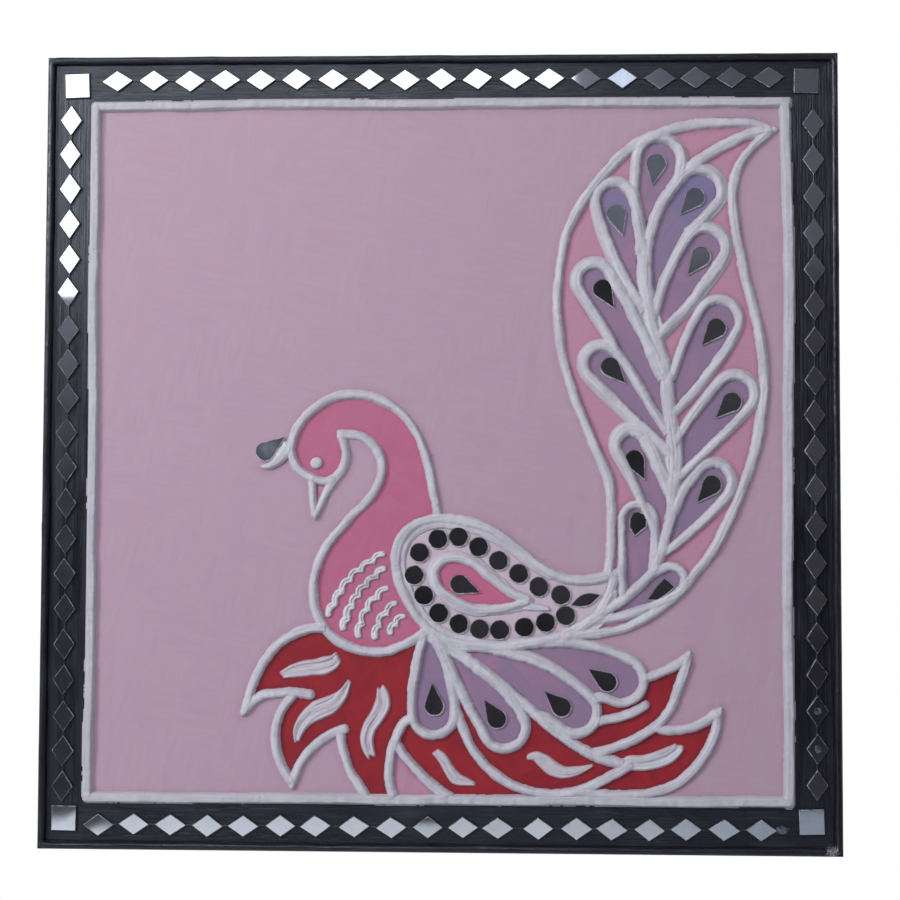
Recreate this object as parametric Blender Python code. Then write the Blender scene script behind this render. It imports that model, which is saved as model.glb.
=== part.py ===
"""Square mud-relief wall panel with a peacock in clay coils and small mirrors.

The panel stands upright: its back lies in the plane y = 0 and its picture faces -Y.
The origin is the middle of the back. The figure is drawn on the picture's grid, in
grid units from the middle of the panel, x to the right and z up.
"""

import math
import random

import bmesh
import bpy
from mathutils import Vector

# Board
BOARD_SIDE = 0.4064
BOARD_THICKNESS = 0.0055
CLEARANCE = 0.0003

# Black coil along the board's edge
RIM_WIDTH = 0.0044
RIM_HEIGHT = 0.0028
RIM_CORNER_RADIUS = 0.0045

# White coil round the picture; the inset runs from the board's edge to the coil's middle
BORDER_INSET = 0.0254
BORDER_WIDTH = 0.0046
BORDER_HEIGHT = 0.0030

# Clay of the figure; the spreads are shares by which coils were laid thinner, and a coil's foot
# is laid deeper than the one before it, down to the board
COIL_WIDTH = 0.0043
COIL_HEIGHT = 0.0026
CREST_COIL_WIDTH = 0.0030
COIL_WIDTH_SPREAD = 0.05
COIL_HEIGHT_SPREAD = 0.06
FOOT_DEPTH = 0.0005
FOOT_STEP = 0.00003
JOINED_FLAME_HEIGHT = 0.0025
EYE_DIAMETER = 0.0064
EYE_HEIGHT = 0.0020
EYE_PROFILE = ((1.0, 0.0), (0.85, 0.6), (0.4, 1.0))
FLAME_HEIGHT = 0.0020
SCALLOP_WIDTH = 0.0026
SCALLOP_HEIGHT = 0.0014
SCALLOP_DEPTH = 0.0017

# Mirrors
MIRROR_THICKNESS = 0.0012
ROUND_DIAMETER = 0.0096
ROUND_GAP = 0.0017
DROP_LENGTH = 0.0160
DROP_WIDTH = 0.0093
LEAF_MIRROR_LENGTH = 0.0157
LEAF_MIRROR_WIDTH = 0.0056
SQUARE_SIDE = 0.0125
DIAMOND_LENGTH = 0.0160
DIAMOND_WIDTH = 0.0112
DIAMOND_GAP = 0.0019
DIAMOND_ROW_INSET = 0.0127
GLUE_BEAD_WIDTH = 0.0010
GLUE_BEAD_HEIGHT = 0.0005

# A coil's cross-section: shares of its width and of its height; and how its free ends narrow
COIL_PROFILE = ((-0.5, 0.0), (-0.28, 1.0), (0.28, 1.0), (0.5, 0.0))
END_WIDTH_SHARE = 0.5
END_HEIGHT_SHARE = 0.6

# Fineness of the faceted solids
CURVE_TOLERANCE = 0.0004
CURVE_STEPS = 10
ROUND_SIDES = 12
DROP_SIDES = 8
CORNER_STEPS = 3
WAVE_STEPS = 4
SHARPEST_MITRE = 0.5

# The picture's grid counts this many units between the middles of the border coils.
GRID_UNITS = 355.6
PICTURE_SIDE = BOARD_SIDE - 2 * BORDER_INSET
UNIT = PICTURE_SIDE / GRID_UNITS
FIELD_HALF = PICTURE_SIDE / 2 - BORDER_WIDTH / 2 - CLEARANCE
SEAT_Y = -(BOARD_THICKNESS + CLEARANCE)

# Peacock's body: back of the neck and brow, beak, throat and breast
NECK_BACK = (
    (0, -34), (-2.7, -20), (-6, -4.9), (-11.6, 9), (-20, 19.7), (-34.6, 27.3), (-50.8, 27.6),
    (-65.4, 19.7), (-73.5, 9.2), (-75.1, -1.5), (-71.5, -9.9), (-63.8, -15.5),
)
BEAK_FRONT = ((-64.3, -14.5), (-63.6, -25), (-62.7, -35.2))
BEAK_BACK = (
    (-62.7, -35.2), (-58.3, -24.2), (-53.6, -15.4), (-48.6, -9.3), (-47.1, -3), (-48.3, 3.5), (-49.7, 9.6),
)
BROW_BAR = ((-64.3, -14.8), (-58.8, -16.2), (-52.8, -14.6))
BREAST = (
    (-51.4, 7.5), (-41.5, 7.2), (-34, 3), (-29.2, -5), (-29, -14), (-33.8, -23.4), (-43.1, -33),
    (-53.1, -43.6), (-61, -57.9), (-63.3, -70), (-62.2, -81), (-57.3, -91), (-47.6, -98.8),
    (-36, -102.4), (-24.6, -102.1), (-14.3, -97.7), (-4.5, -91.3),
)
CREST_COIL = ((-76.3, -0.5), (-79.4, -4.2), (-83, -7.6), (-86.6, -9), (-89.8, -8.4))
EYE_PLACE = (-62.2, -6.9)

# Paisley wing: its outline, the ring round its pink heart, and the middles of its round mirrors
WING_OUTLINE = (
    (88.5, -62.9), (77.7, -65.8), (65.4, -65.5), (53.1, -60.1), (40.8, -50.1), (25.4, -40.1),
    (10, -35.6), (0.4, -35), (-10.5, -37.5), (-18.8, -45.7), (-21.4, -56), (-19.7, -66.2),
    (-14.2, -78.4), (-5, -90.5), (4.9, -96.2), (20, -98.9), (36, -99.2), (50, -97), (64, -94.4),
)
WING_HEART = (
    (45.4, -77), (36.2, -72), (25.4, -63.5), (17.7, -57.7), (9, -55.2), (1.5, -57), (-2, -62.3),
    (0, -69.5), (6, -75), (15, -79.7), (28, -80.8), (40, -78.7),
)
ROUND_LOOP = (
    (-9.4, -52.3), (-5.2, -47.6), (0.3, -45.3), (10.7, -44.2), (20.8, -49.4), (30.7, -56.2), (40.9, -62.7),
    (50.8, -69.2), (62.3, -73.5), (64.5, -84.3), (54.1, -87.4), (43.5, -89.8), (31.2, -91.2),
    (21.1, -90.8), (10.7, -88.2), (0.5, -82.8), (-7, -73.9), (-12, -63.8),
)
# How far each round mirror was pressed off its even place, in shares of the gap between two
ROUND_DRIFT = (
    0, 0.3, -0.2, -0.25, 0.1, 0.45, 0.75, 1.0, 0.7, 0.55, 0.25, 0.75, 0.1, -0.3, -0.25, -0.15, -0.2,
)
LEAF_MIRROR_PLACE = (74.8, -75.8)
LEAF_MIRROR_ANGLE = 20

# Tail leaf: both edges run from its tip, and the stem gathers the feathers at its root
TAIL_TIP = (171, 163.2)
TAIL_LEFT_EDGE = (
    TAIL_TIP, (162.2, 166.4), (146.2, 167.6), (122.1, 164.8), (98.9, 155.2), (82.1, 139.1),
    (70, 121.5), (62.8, 99.9), (60.4, 76), (62.8, 50.9), (69.6, 26.9), (78.5, 4.2), (86, -14.2),
    (87.8, -36.5), (87.2, -53), (85.8, -63.5),
)
TAIL_RIGHT_EDGE = (
    TAIL_TIP, (160, 155), (152.6, 144.7), (149.4, 128), (151.4, 111.9), (156.6, 85.4), (162.2, 62.9),
    (165, 38.9), (163, 14.9), (157.7, -8.8), (148.5, -31.9), (137.7, -52.7), (123.8, -69.6),
    (106.9, -83.5), (93.1, -90.4), (78.5, -92.7), (62.5, -94.8),
)
TAIL_VEIN = (
    (169.5, 163.2), (158, 160.8), (146.2, 156), (132.5, 147.9), (121, 136.5), (112.5, 123.6),
    (107.3, 110.3), (106, 95.9), (106.2, 80), (108.3, 66),
)
TAIL_STEM = (
    (103.4, 100), (104.3, 84), (106.9, 70.2), (110.5, 56.5), (114.5, 42.9), (116.7, 26.9), (118.6, 10.9),
    (119.9, -2), (119.2, -18.1), (118.1, -31.9), (115, -44.2), (109.2, -60.2), (101.5, -68.8),
    (92.3, -76.7), (82.3, -83.2), (73, -89.2), (64, -93.6),
)
TAIL_ROOT = ((94, -60.5), (89.9, -62.4), (88.5, -67.4), (86.2, -74.3), (81, -83.5))

# Feather and petal loops: start of the loop, middle and radius of its round head, its
# direction in degrees, end of the loop
FEATHER_LOOPS = (
    ((104, 103), (112.3, 148.4), 11.3, 80, (121.8, 136.5)),
    ((112.5, 123.6), (132.4, 132.4), 11.1, 54, (126.5, 111)),
    ((105, 71), (89.7, 127.4), 9.6, 103, (103.4, 100)),
    ((108.8, 66), (135.4, 103), 10.6, 58, (111.7, 57.3)),
    ((116.5, 8.5), (79.2, 86.2), 8.9, 122, (114.3, 36)),
    ((117.2, 33), (142.2, 66), 10.6, 60, (118.6, 18)),
    ((118.8, -2.5), (83, 44), 9.0, 135, (106, 31)),
    ((119.3, 3), (150.2, 28.4), 10.0, 48, (120.2, -14.5)),
    ((110.1, -42), (98, 2.4), 7.9, 118, (118.6, -24)),
    ((119.3, -32), (139.3, -16.2), 9.5, 50, (111.6, -54)),
    ((93.6, -73.5), (101.1, -35.7), 8.4, 92, (108.6, -60)),
    ((105.5, -64.5), (117.2, -66), 7.6, 30, (79, -86.6)),
)
PETAL_LOOPS = (
    ((-2.6, -93.5), (-2, -133.6), 10.8, -89, (-7, -93.5)),
    ((19.9, -110.1), (33.6, -140), 10.8, -62, (0.5, -97.5)),
    ((12, -99), (69.6, -132.2), 10.9, -44, (50, -133.2)),
    ((36, -99.3), (92.8, -116), 11.3, -25, (78.6, -125.6)),
)
PETAL_DIVIDER = (
    (-4, -92), (3, -99), (11.4, -104), (19.9, -110.1), (28.4, -115.6), (43.2, -127.5), (54.8, -138.1),
    (68.6, -148.7), (81.3, -154.5), (93.5, -157.8),
)
PETAL_TWIG = ((80, -136.8), (92.9, -134), (102, -130.4), (106.4, -127.6))

# Leaf edges under the bird, from left to right, with the ends that show
LEAF_EDGES = (
    ("end", ((-57, -90.6), (-66.5, -91.4), (-79.6, -98), (-87.9, -107.3), (-93.5, -118.8), (-98.2, -133))),
    ("start end", ((-98.2, -133), (-91.5, -126.2), (-81.9, -123.7), (-72, -123.1), (-62.3, -124.7))),
    ("end", ((-72.8, -124.2), (-79.2, -132.7), (-82, -144.2), (-80.4, -156.5), (-73.3, -169.4))),
    ("start end", ((-73.3, -169.4), (-69.6, -159), (-60.4, -148.6), (-53, -144), (-45, -141.4))),
    ("", ((-49.5, -142.8), (-47.6, -152), (-43.5, -164), (-36.5, -174.2), (-34, -180))),
    ("", ((-11, -135.8), (-15.8, -137.3), (-20.8, -145), (-23.8, -158), (-24.2, -168), (-20.6, -180))),
    ("", ((-22, -147), (-16.5, -155), (-8.1, -164.2), (1.2, -171.9), (9, -177))),
    ("", ((8.8, -130), (13.6, -143), (22, -156.6), (33.7, -166.7), (46, -172), (60, -173.2), (74, -170.8),
          (86.5, -164.6), (98, -157.9))),
    ("end", ((79, -152.6), (90.8, -149.4), (104.5, -142.7), (116.2, -132.3), (122.2, -117.5),
             (126.4, -103.8))),
    ("start", ((126.4, -103.8), (120.4, -108.4), (112, -112.6), (102.8, -115.6))),
    ("end", ((109.5, -139.6), (118, -140.9), (130.5, -138.5), (141.6, -131.6))),
    ("start", ((141.6, -131.6), (139.8, -142), (133.1, -154.5), (121.4, -167), (108, -172.2),
               (93.9, -173.6), (80, -172.8), (66, -172.6))),
)

# Tapered strokes: points of the middle line with the stroke's width there
FLAMES = (
    ((-80.3, -115, 2.6), (-74, -112.8, 6.2), (-66, -111, 7.4), (-58.4, -110, 8), (-52.6, -107.6, 7),
     (-49.6, -104.2, 4.4)),
    ((-71.2, -149.5, 1.5), (-70.4, -143, 4.8), (-66.8, -137, 7), (-60.8, -132.4, 9.2), (-54.3, -129.5, 8.4),
     (-48.8, -125, 5.4), (-44, -116, 1)),
    ((-29.6, -118.2, 2), (-27.8, -123.4, 5.6), (-27.8, -129, 7.4), (-30.6, -135, 7.6), (-34.2, -140.5, 7),
     (-35.7, -146.5, 6.4), (-34.6, -152, 5), (-32, -157.4, 3)),
    ((-2, -151.6, 3.2), (2.6, -155.8, 4.4), (6.2, -161.6, 5), (9.6, -165.9, 5.6), (14.6, -167.5, 3.6),
     (20.5, -168.9, 0.8)),
    ((45.6, -155.4, 2.5), (49.5, -154.6, 4.4), (53.8, -157, 6.4), (58.4, -160.6, 6.8), (63.3, -162.4, 5.8),
     (69.6, -161.8, 4.5), (78.2, -158.9, 0.8)),
)
JOINED_FLAME = (
    (91.5, -157.6, 3), (96.5, -157.4, 6), (103.5, -157.4, 7.4), (111.5, -155.6, 7.6),
    (117.2, -153, 7), (121.3, -149.6, 5), (122.8, -146.8, 1.6),
)

# Wavy strips on the breast: lower end, upper end, bow towards the upper left, number of waves
SCALLOPS = (
    ((-55.2, -85.4), (-26.6, -53), 4.8, 6),
    ((-47.6, -92.2), (-26, -60.6), 4.2, 6),
    ((-39.8, -96), (-24.6, -70), 3.6, 4),
    ((-31.4, -96.6), (-20.2, -77.8), 2.6, 3),
    ((-24, -94.4), (-15.8, -84.8), 1.8, 2),
)

# Teardrop mirrors: the point, and the direction from it to the round end
CREST_MIRROR = (-78.6, 6.3, 217)
WING_MIRROR = (21.6, -72.4, 158)
FEATHER_MIRRORS = (
    (108.7, 135.2, 79), (123, 120.3, 49), (93.5, 109.4, 106), (126.6, 89.3, 54), (89.2, 72.3, 121),
    (133.7, 53.3, 50), (95, 33.9, 133), (140.6, 16.4, 45), (104.6, -15, 117), (131, -26.3, 50),
)
PETAL_MIRRORS = ((-2.6, -118.2, -85), (23.7, -126.4, -56), (54.2, -122, -43), (76.2, -110.6, -34))
BROKEN_DROP_OUTLINE = (
    (97.2, -39.6), (99.4, -43.4), (102.6, -40.8), (105.2, -39), (105.5, -35.4), (104.2, -32.3),
    (101.3, -31.1), (98.6, -31.9), (97, -35),
)
SHARD_OUTLINE = ((109.4, -70.2), (105.6, -75.6), (111, -75.8), (115.6, -72.6), (119.6, -69), (114.6, -64.6))

# Corner mirrors, clockwise from the upper left: distance from the board's two edges, and tilt
CORNER_MIRRORS = ((0.0157, 0.0152, 2), (0.0162, 0.0147, -1), (0.0157, 0.0172, 1.5), (0.0137, 0.0157, -1))
# Rows of diamonds: the share of the board's side that a row takes, and its shift along the side
DIAMOND_ROWS = {
    "top": (0.862, 0.00075),
    "right": (0.862, -0.001),
    "bottom": (0.862, -0.005),
    "left": (0.880, -0.00075),
}
DIAMOND_JITTER = 0.0003
DIAMOND_TILT = 2.0

hand = random.Random(7)


def clear_scene():
    """Removes what the file opened with."""
    for item in list(bpy.data.objects):
        bpy.data.objects.remove(item, do_unlink=True)


def material(name, colour, roughness, metallic=0.0):
    """A plain Principled material; the colour is linear RGB."""
    made = bpy.data.materials.new(name)
    made.use_nodes = True
    shader = made.node_tree.nodes["Principled BSDF"]
    shader.inputs["Base Color"].default_value = (*colour, 1.0)
    shader.inputs["Roughness"].default_value = roughness
    shader.inputs["Metallic"].default_value = metallic
    return made


def solid(name, verts, faces, finish):
    """A closed object from vertices and faces, facing out, with one material."""
    mesh = bpy.data.meshes.new(name)
    mesh.from_pydata(verts, [], faces)
    mesh.materials.append(finish)
    shell = bmesh.new()
    shell.from_mesh(mesh)
    bmesh.ops.recalc_face_normals(shell, faces=shell.faces)
    bmesh.ops.triangulate(shell, faces=shell.faces)
    shell.to_mesh(mesh)
    shell.free()
    made = bpy.data.objects.new(name, mesh)
    bpy.context.collection.objects.link(made)
    return made


def grid_point(point):
    """A figure point in metres."""
    return Vector((point[0] * UNIT, point[1] * UNIT))


def smooth_curve(points, closed=False):
    """Points along a smooth curve through the given ones, by Hermite spans."""
    count = len(points)
    spans = count if closed else count - 1
    steps = [points[(k + 1) % count] - points[k] for k in range(spans)]
    lengths = [step.length for step in steps]
    headings = [step / length for step, length in zip(steps, lengths)]
    tangents = []
    for k in range(count):
        before, after = (k - 1) % spans, k % spans
        if closed or 0 < k < count - 1:
            blend = headings[before] * lengths[after] + headings[after] * lengths[before]
            tangents.append(blend / (lengths[before] + lengths[after]))
        else:
            tangents.append(headings[min(k, spans - 1)])
    curve = []
    for k in range(spans):
        start, end = points[k], points[(k + 1) % count]
        leave, arrive = tangents[k] * lengths[k], tangents[(k + 1) % count] * lengths[k]
        for step in range(CURVE_STEPS):
            t = step / CURVE_STEPS
            curve.append(
                start * (2 * t**3 - 3 * t**2 + 1) + leave * (t**3 - 2 * t**2 + t)
                + end * (3 * t**2 - 2 * t**3) + arrive * (t**3 - t**2)
            )
    if not closed:
        curve.append(points[-1])
    return curve


def thinned(points):
    """Keeps the points that the curve's shape needs, within the tolerance."""
    if len(points) < 3:
        return points
    start, end = points[0], points[-1]
    along = end - start
    best, best_gap = 0, 0.0
    for index in range(1, len(points) - 1):
        offset = points[index] - start
        if along.length > 1e-9:
            share = max(0.0, min(1.0, offset.dot(along) / along.length_squared))
            offset = offset - along * share
        if offset.length > best_gap:
            best, best_gap = index, offset.length
    if best_gap < CURVE_TOLERANCE:
        return [start, end]
    return thinned(points[:best + 1])[:-1] + thinned(points[best:])


def stroke_path(points):
    """A figure stroke's middle line in metres, with as few points as it needs."""
    return thinned(smooth_curve([grid_point(point) for point in points]))


def loop_path(start, head, radius, direction, end):
    """A teardrop loop: two bowed sides from its ends to a round head."""
    middle = grid_point(head)
    reach = radius * UNIT
    axis = Vector((math.cos(math.radians(direction)), math.sin(math.radians(direction))))
    left = Vector((-axis.y, axis.x))
    path = []
    for side, foot in ((1, grid_point(start)), (-1, grid_point(end))):
        shoulder = middle + left * side * reach
        bend = shoulder - axis * (shoulder - foot).length / 2
        arm = []
        for step in range(CURVE_STEPS + 1):
            t = step / CURVE_STEPS
            arm.append(foot * (1 - t)**2 + bend * 2 * t * (1 - t) + shoulder * t**2)
        path.append(arm)
    crown = []
    for step in range(1, 2 * CURVE_STEPS):
        turn = math.pi * step / (2 * CURVE_STEPS)
        crown.append(middle + left * reach * math.cos(turn) + axis * reach * math.sin(turn))
    return thinned(path[0] + crown + path[1][::-1])


def normals_along(path, closed):
    """The sideways direction at each point, lengthened where the path turns."""
    count = len(path)
    sideways = []
    for k in range(count):
        before = path[k] - path[k - 1] if closed or k > 0 else path[1] - path[0]
        after = path[(k + 1) % count] - path[k] if closed or k < count - 1 else path[-1] - path[-2]
        first = Vector((-before.y, before.x)).normalized()
        second = Vector((-after.y, after.x)).normalized()
        middle = (first + second).normalized()
        sideways.append(middle / max(middle.dot(first), SHARPEST_MITRE))
    return sideways


def coil(name, path, widths, height, finish, free="start end", closed=False, depth=0.0):
    """A clay coil along a path, rounded on top; its free ends are drawn in."""
    path = list(path)
    widths = list(widths)
    heights = [height] * len(path)
    for end, place, inner, outer in (("start", 0, 1, 0), ("end", -1, -2, len(path) + 1)):
        if closed or end not in free:
            continue
        point, width = path[place], widths[place]
        reach = path[inner] - point
        path[place] = point + reach.normalized() * min(width / 3, reach.length / 2)
        path.insert(outer, point)
        widths.insert(outer, width * END_WIDTH_SHARE)
        heights.insert(outer, height * END_HEIGHT_SHARE)
    sideways = normals_along(path, closed)
    verts = []
    for point, side, width, tall in zip(path, sideways, widths, heights):
        for across, up in COIL_PROFILE:
            spot = point + side * across * width
            rise = tall * up if up > 0 else -depth
            verts.append((spot.x, SEAT_Y - rise, spot.y))
    around = len(COIL_PROFILE)
    count = len(path)
    faces = []
    for k in range(count if closed else count - 1):
        for j in range(around):
            a, b = k * around + j, k * around + (j + 1) % around
            c, d = (k + 1) % count * around + (j + 1) % around, (k + 1) % count * around + j
            faces.append((a, b, c, d))
    if not closed:
        faces.append(tuple(range(around))[::-1])
        faces.append(tuple(range((count - 1) * around, count * around)))
    return solid(name, verts, faces, finish)


def prism(name, outline, thickness, finish, depth=0.0):
    """A flat piece with the given outline, seated on the board."""
    count = len(outline)
    verts = [(point[0], SEAT_Y - rise, point[1]) for rise in (-depth, thickness) for point in outline]
    faces = [tuple(range(count)), tuple(range(2 * count - 1, count - 1, -1))]
    for k in range(count):
        following = (k + 1) % count
        faces.append((k, k + count, following + count, following))
    return solid(name, verts, faces, finish)


def combine(base, other, operation):
    """Applies a Boolean to the base object and removes the other one.

    The exact solver leaves open edges where many flat strokes cross, so this one is used.
    """
    modifier = base.modifiers.new(operation, "BOOLEAN")
    modifier.operation = operation
    modifier.object = other
    modifier.solver = "MANIFOLD"
    bpy.context.view_layer.update()
    evaluated = base.evaluated_get(bpy.context.evaluated_depsgraph_get())
    result = bpy.data.meshes.new_from_object(evaluated)
    base.modifiers.clear()
    base.data = result
    bpy.data.objects.remove(other, do_unlink=True)


def grown(outline, margin):
    """An outline, counterclockwise, moved outwards."""
    return [point - side * margin for point, side in zip(outline, normals_along(outline, True))]


def relief_strokes():
    """The joined coils of the figure: middle line, width and the ends that show."""
    lines = [("", NECK_BACK), ("end", BEAK_FRONT), ("start", BEAK_BACK), ("", BROW_BAR), ("", BREAST),
             ("", WING_OUTLINE), ("start", TAIL_LEFT_EDGE), ("start", TAIL_RIGHT_EDGE), ("", TAIL_VEIN),
             ("", TAIL_STEM), ("", TAIL_ROOT), ("", PETAL_DIVIDER), ("end", PETAL_TWIG), *LEAF_EDGES]
    strokes = [(stroke_path(points), COIL_WIDTH, free) for free, points in lines]
    strokes.append((stroke_path(CREST_COIL), CREST_COIL_WIDTH, "end"))
    for loop in FEATHER_LOOPS + PETAL_LOOPS:
        path = loop_path(*loop)
        crown = len(path) // 2
        strokes.append((path[:crown + 1], COIL_WIDTH, ""))
        strokes.append((path[crown - 1:], COIL_WIDTH, ""))
    return strokes


def make_relief(clay, mirrors):
    """All joined coils, united, cut back round the mirrors and trimmed inside the border coil."""
    strokes = relief_strokes()
    pieces = []
    for number, (path, width, free) in enumerate(strokes):
        tall = COIL_HEIGHT * hand.uniform(1 - COIL_HEIGHT_SPREAD, 1.0)
        wide = width * hand.uniform(1 - COIL_WIDTH_SPREAD, 1.0)
        depth = FOOT_DEPTH + FOOT_STEP * number
        pieces.append(coil(f"stroke_{number}", path, [wide] * len(path), tall, clay, free, depth=depth))
    pieces.append(flame("joined_flame", JOINED_FLAME, clay, JOINED_FLAME_HEIGHT, FOOT_DEPTH - FOOT_STEP))
    relief = pieces[0]
    relief.name = "peacock_relief"
    for piece in pieces[1:]:
        combine(relief, piece, "UNION")
    deepest = FOOT_DEPTH + FOOT_STEP * len(strokes)
    for outline in mirrors:
        cutter = prism("cutter", grown(outline, CLEARANCE), 2 * COIL_HEIGHT, clay, deepest)
        combine(relief, cutter, "DIFFERENCE")
    corners = [(-FIELD_HALF, -FIELD_HALF), (FIELD_HALF, -FIELD_HALF),
               (FIELD_HALF, FIELD_HALF), (-FIELD_HALF, FIELD_HALF)]
    combine(relief, prism("field", corners, 2 * COIL_HEIGHT, clay), "INTERSECT")


def make_heart_coil(clay):
    """The closed coil round the wing's pink heart, which touches no other coil."""
    path = thinned(smooth_curve([grid_point(point) for point in WING_HEART], closed=True))
    return coil("heart_coil", path, [COIL_WIDTH] * len(path), COIL_HEIGHT, clay, closed=True)


def flame(name, points, clay, height, depth=0.0):
    """A tapered stroke; the third number of each point is the width there, in grid units."""
    middle = smooth_curve([grid_point(point) for point in points])
    spans = len(points) - 1
    path = [middle[0]]
    widths = [points[0][2] * UNIT]
    for span in range(spans):
        for share in (0.5, 1.0):
            path.append(middle[int((span + share) * CURVE_STEPS)])
            widths.append((points[span][2] * (1 - share) + points[span + 1][2] * share) * UNIT)
    return coil(name, path, widths, height, clay, depth=depth)


def make_scallop(name, start, end, bow, waves, clay):
    """A thin strip on the breast, bowed, with waves towards the upper left."""
    first, last = grid_point(start), grid_point(end)
    along = last - first
    up_left = Vector((-along.y, along.x)).normalized()
    path = []
    for step in range(WAVE_STEPS * waves + 1):
        share = step / (WAVE_STEPS * waves)
        wave = abs(math.sin(math.pi * waves * share)) * SCALLOP_DEPTH
        path.append(first + along * share + up_left * (bow * UNIT * math.sin(math.pi * share) + wave))
    return coil(name, path, [SCALLOP_WIDTH] * len(path), SCALLOP_HEIGHT, clay)


def make_eye(clay):
    """The eye: a low dome."""
    middle = grid_point(EYE_PLACE)
    verts = []
    for radius, up in EYE_PROFILE:
        for k in range(ROUND_SIDES):
            turn = 2 * math.pi * k / ROUND_SIDES
            reach = EYE_DIAMETER / 2 * radius
            verts.append((middle.x + reach * math.cos(turn), SEAT_Y - EYE_HEIGHT * up,
                          middle.y + reach * math.sin(turn)))
    faces = [tuple(range(ROUND_SIDES)), tuple(range(2 * ROUND_SIDES, 3 * ROUND_SIDES))[::-1]]
    for ring in range(len(EYE_PROFILE) - 1):
        for k in range(ROUND_SIDES):
            a, b = ring * ROUND_SIDES + k, ring * ROUND_SIDES + (k + 1) % ROUND_SIDES
            faces.append((a, a + ROUND_SIDES, b + ROUND_SIDES, b))
    return solid("eye_dot", verts, faces, clay)


def ring_coil(name, half_side, corner_radius, width, height, finish):
    """A square coil whose middle line has rounded corners."""
    path = []
    inner = half_side - corner_radius
    for quarter, (right, upper) in enumerate(((1, 1), (-1, 1), (-1, -1), (1, -1))):
        corner = Vector((inner * right, inner * upper))
        for step in range(CORNER_STEPS + 1):
            turn = math.pi / 2 * (quarter + step / CORNER_STEPS)
            path.append(corner + Vector((math.cos(turn), math.sin(turn))) * corner_radius)
    return coil(name, path, [width] * len(path), height, finish, closed=True)


def teardrop_outline(x, z, direction):
    """A teardrop from its point: straight sides and a round end."""
    point = grid_point((x, z))
    axis = Vector((math.cos(math.radians(direction)), math.sin(math.radians(direction))))
    left = Vector((-axis.y, axis.x))
    radius = DROP_WIDTH / 2
    centre = point + axis * (DROP_LENGTH - radius)
    start = math.asin(radius / (DROP_LENGTH - radius))
    outline = [point]
    for step in range(DROP_SIDES + 1):
        turn = -math.pi / 2 - start + (math.pi + 2 * start) * step / DROP_SIDES
        outline.append(centre + axis * radius * math.cos(turn) + left * radius * math.sin(turn))
    return outline


def leaf_outline(place, length, width, direction):
    """A pointed oval: two arcs that meet in points."""
    centre = grid_point(place)
    axis = Vector((math.cos(math.radians(direction)), math.sin(math.radians(direction))))
    left = Vector((-axis.y, axis.x))
    steps = ROUND_SIDES // 2
    outline = []
    for side in (1, -1):
        for step in range(steps):
            share = step / steps
            bulge = math.sin(math.pi * share) * width / 2
            outline.append(centre - axis * side * length * (share - 0.5) + left * side * bulge)
    return outline


def quad_outline(centre, length, width, tilt):
    """A diamond with its long diagonal along the tilt, in degrees."""
    axis = Vector((math.cos(math.radians(tilt)), math.sin(math.radians(tilt))))
    left = Vector((-axis.y, axis.x))
    return [centre + axis * length / 2, centre + left * width / 2,
            centre - axis * length / 2, centre - left * width / 2]


def round_outlines():
    """Outlines of the round mirrors, even along the wing's band but each drifted a little."""
    loop = smooth_curve([grid_point(point) for point in ROUND_LOOP], closed=True)
    loop.append(loop[0])
    marks = [0.0]
    for start, end in zip(loop, loop[1:]):
        marks.append(marks[-1] + (end - start).length)
    count = int(marks[-1] / (ROUND_DIAMETER + ROUND_GAP))
    pitch = marks[-1] / count
    outlines = {}
    for number in range(count):
        drift = ROUND_DRIFT[number % len(ROUND_DRIFT)] * (pitch - ROUND_DIAMETER)
        travel = (number * pitch + drift) % marks[-1]
        span = max(k for k, mark in enumerate(marks[:-1]) if mark <= travel)
        share = (travel - marks[span]) / (marks[span + 1] - marks[span])
        centre = loop[span].lerp(loop[span + 1], share)
        turns = [2 * math.pi * (k + 0.5) / ROUND_SIDES for k in range(ROUND_SIDES)]
        outlines[f"round_mirror_{number + 1:02d}"] = [
            centre + Vector((math.cos(turn), math.sin(turn))) * ROUND_DIAMETER / 2 for turn in turns
        ]
    return outlines


def drop_outlines():
    """Outlines of the teardrop mirrors, of the two broken ones and of the leaf mirror."""
    drops = [("crest_mirror", CREST_MIRROR), ("wing_mirror", WING_MIRROR)]
    drops += [(f"feather_mirror_{k + 1:02d}", place) for k, place in enumerate(FEATHER_MIRRORS)]
    drops += [(f"petal_mirror_{k + 1}", place) for k, place in enumerate(PETAL_MIRRORS)]
    outlines = {name: teardrop_outline(*place) for name, place in drops}
    whole = len(FEATHER_MIRRORS)
    for number, outline in enumerate((BROKEN_DROP_OUTLINE, SHARD_OUTLINE)):
        outlines[f"feather_mirror_{whole + number + 1:02d}"] = [grid_point(point) for point in outline]
    outlines["leaf_mirror"] = leaf_outline(
        LEAF_MIRROR_PLACE, LEAF_MIRROR_LENGTH, LEAF_MIRROR_WIDTH, LEAF_MIRROR_ANGLE)
    return outlines


def make_corner_mirrors(glass):
    """The square mirrors of the black band."""
    half = BOARD_SIDE / 2
    for number, (aside, down, tilt) in enumerate(CORNER_MIRRORS):
        right = 1 if number in (1, 2) else -1
        upper = 1 if number in (0, 1) else -1
        centre = Vector((right * (half - aside), upper * (half - down)))
        diagonal = SQUARE_SIDE * math.sqrt(2)
        prism(f"corner_mirror_{number + 1}", quad_outline(centre, diagonal, diagonal, 45 + tilt),
              MIRROR_THICKNESS, glass)


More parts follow.
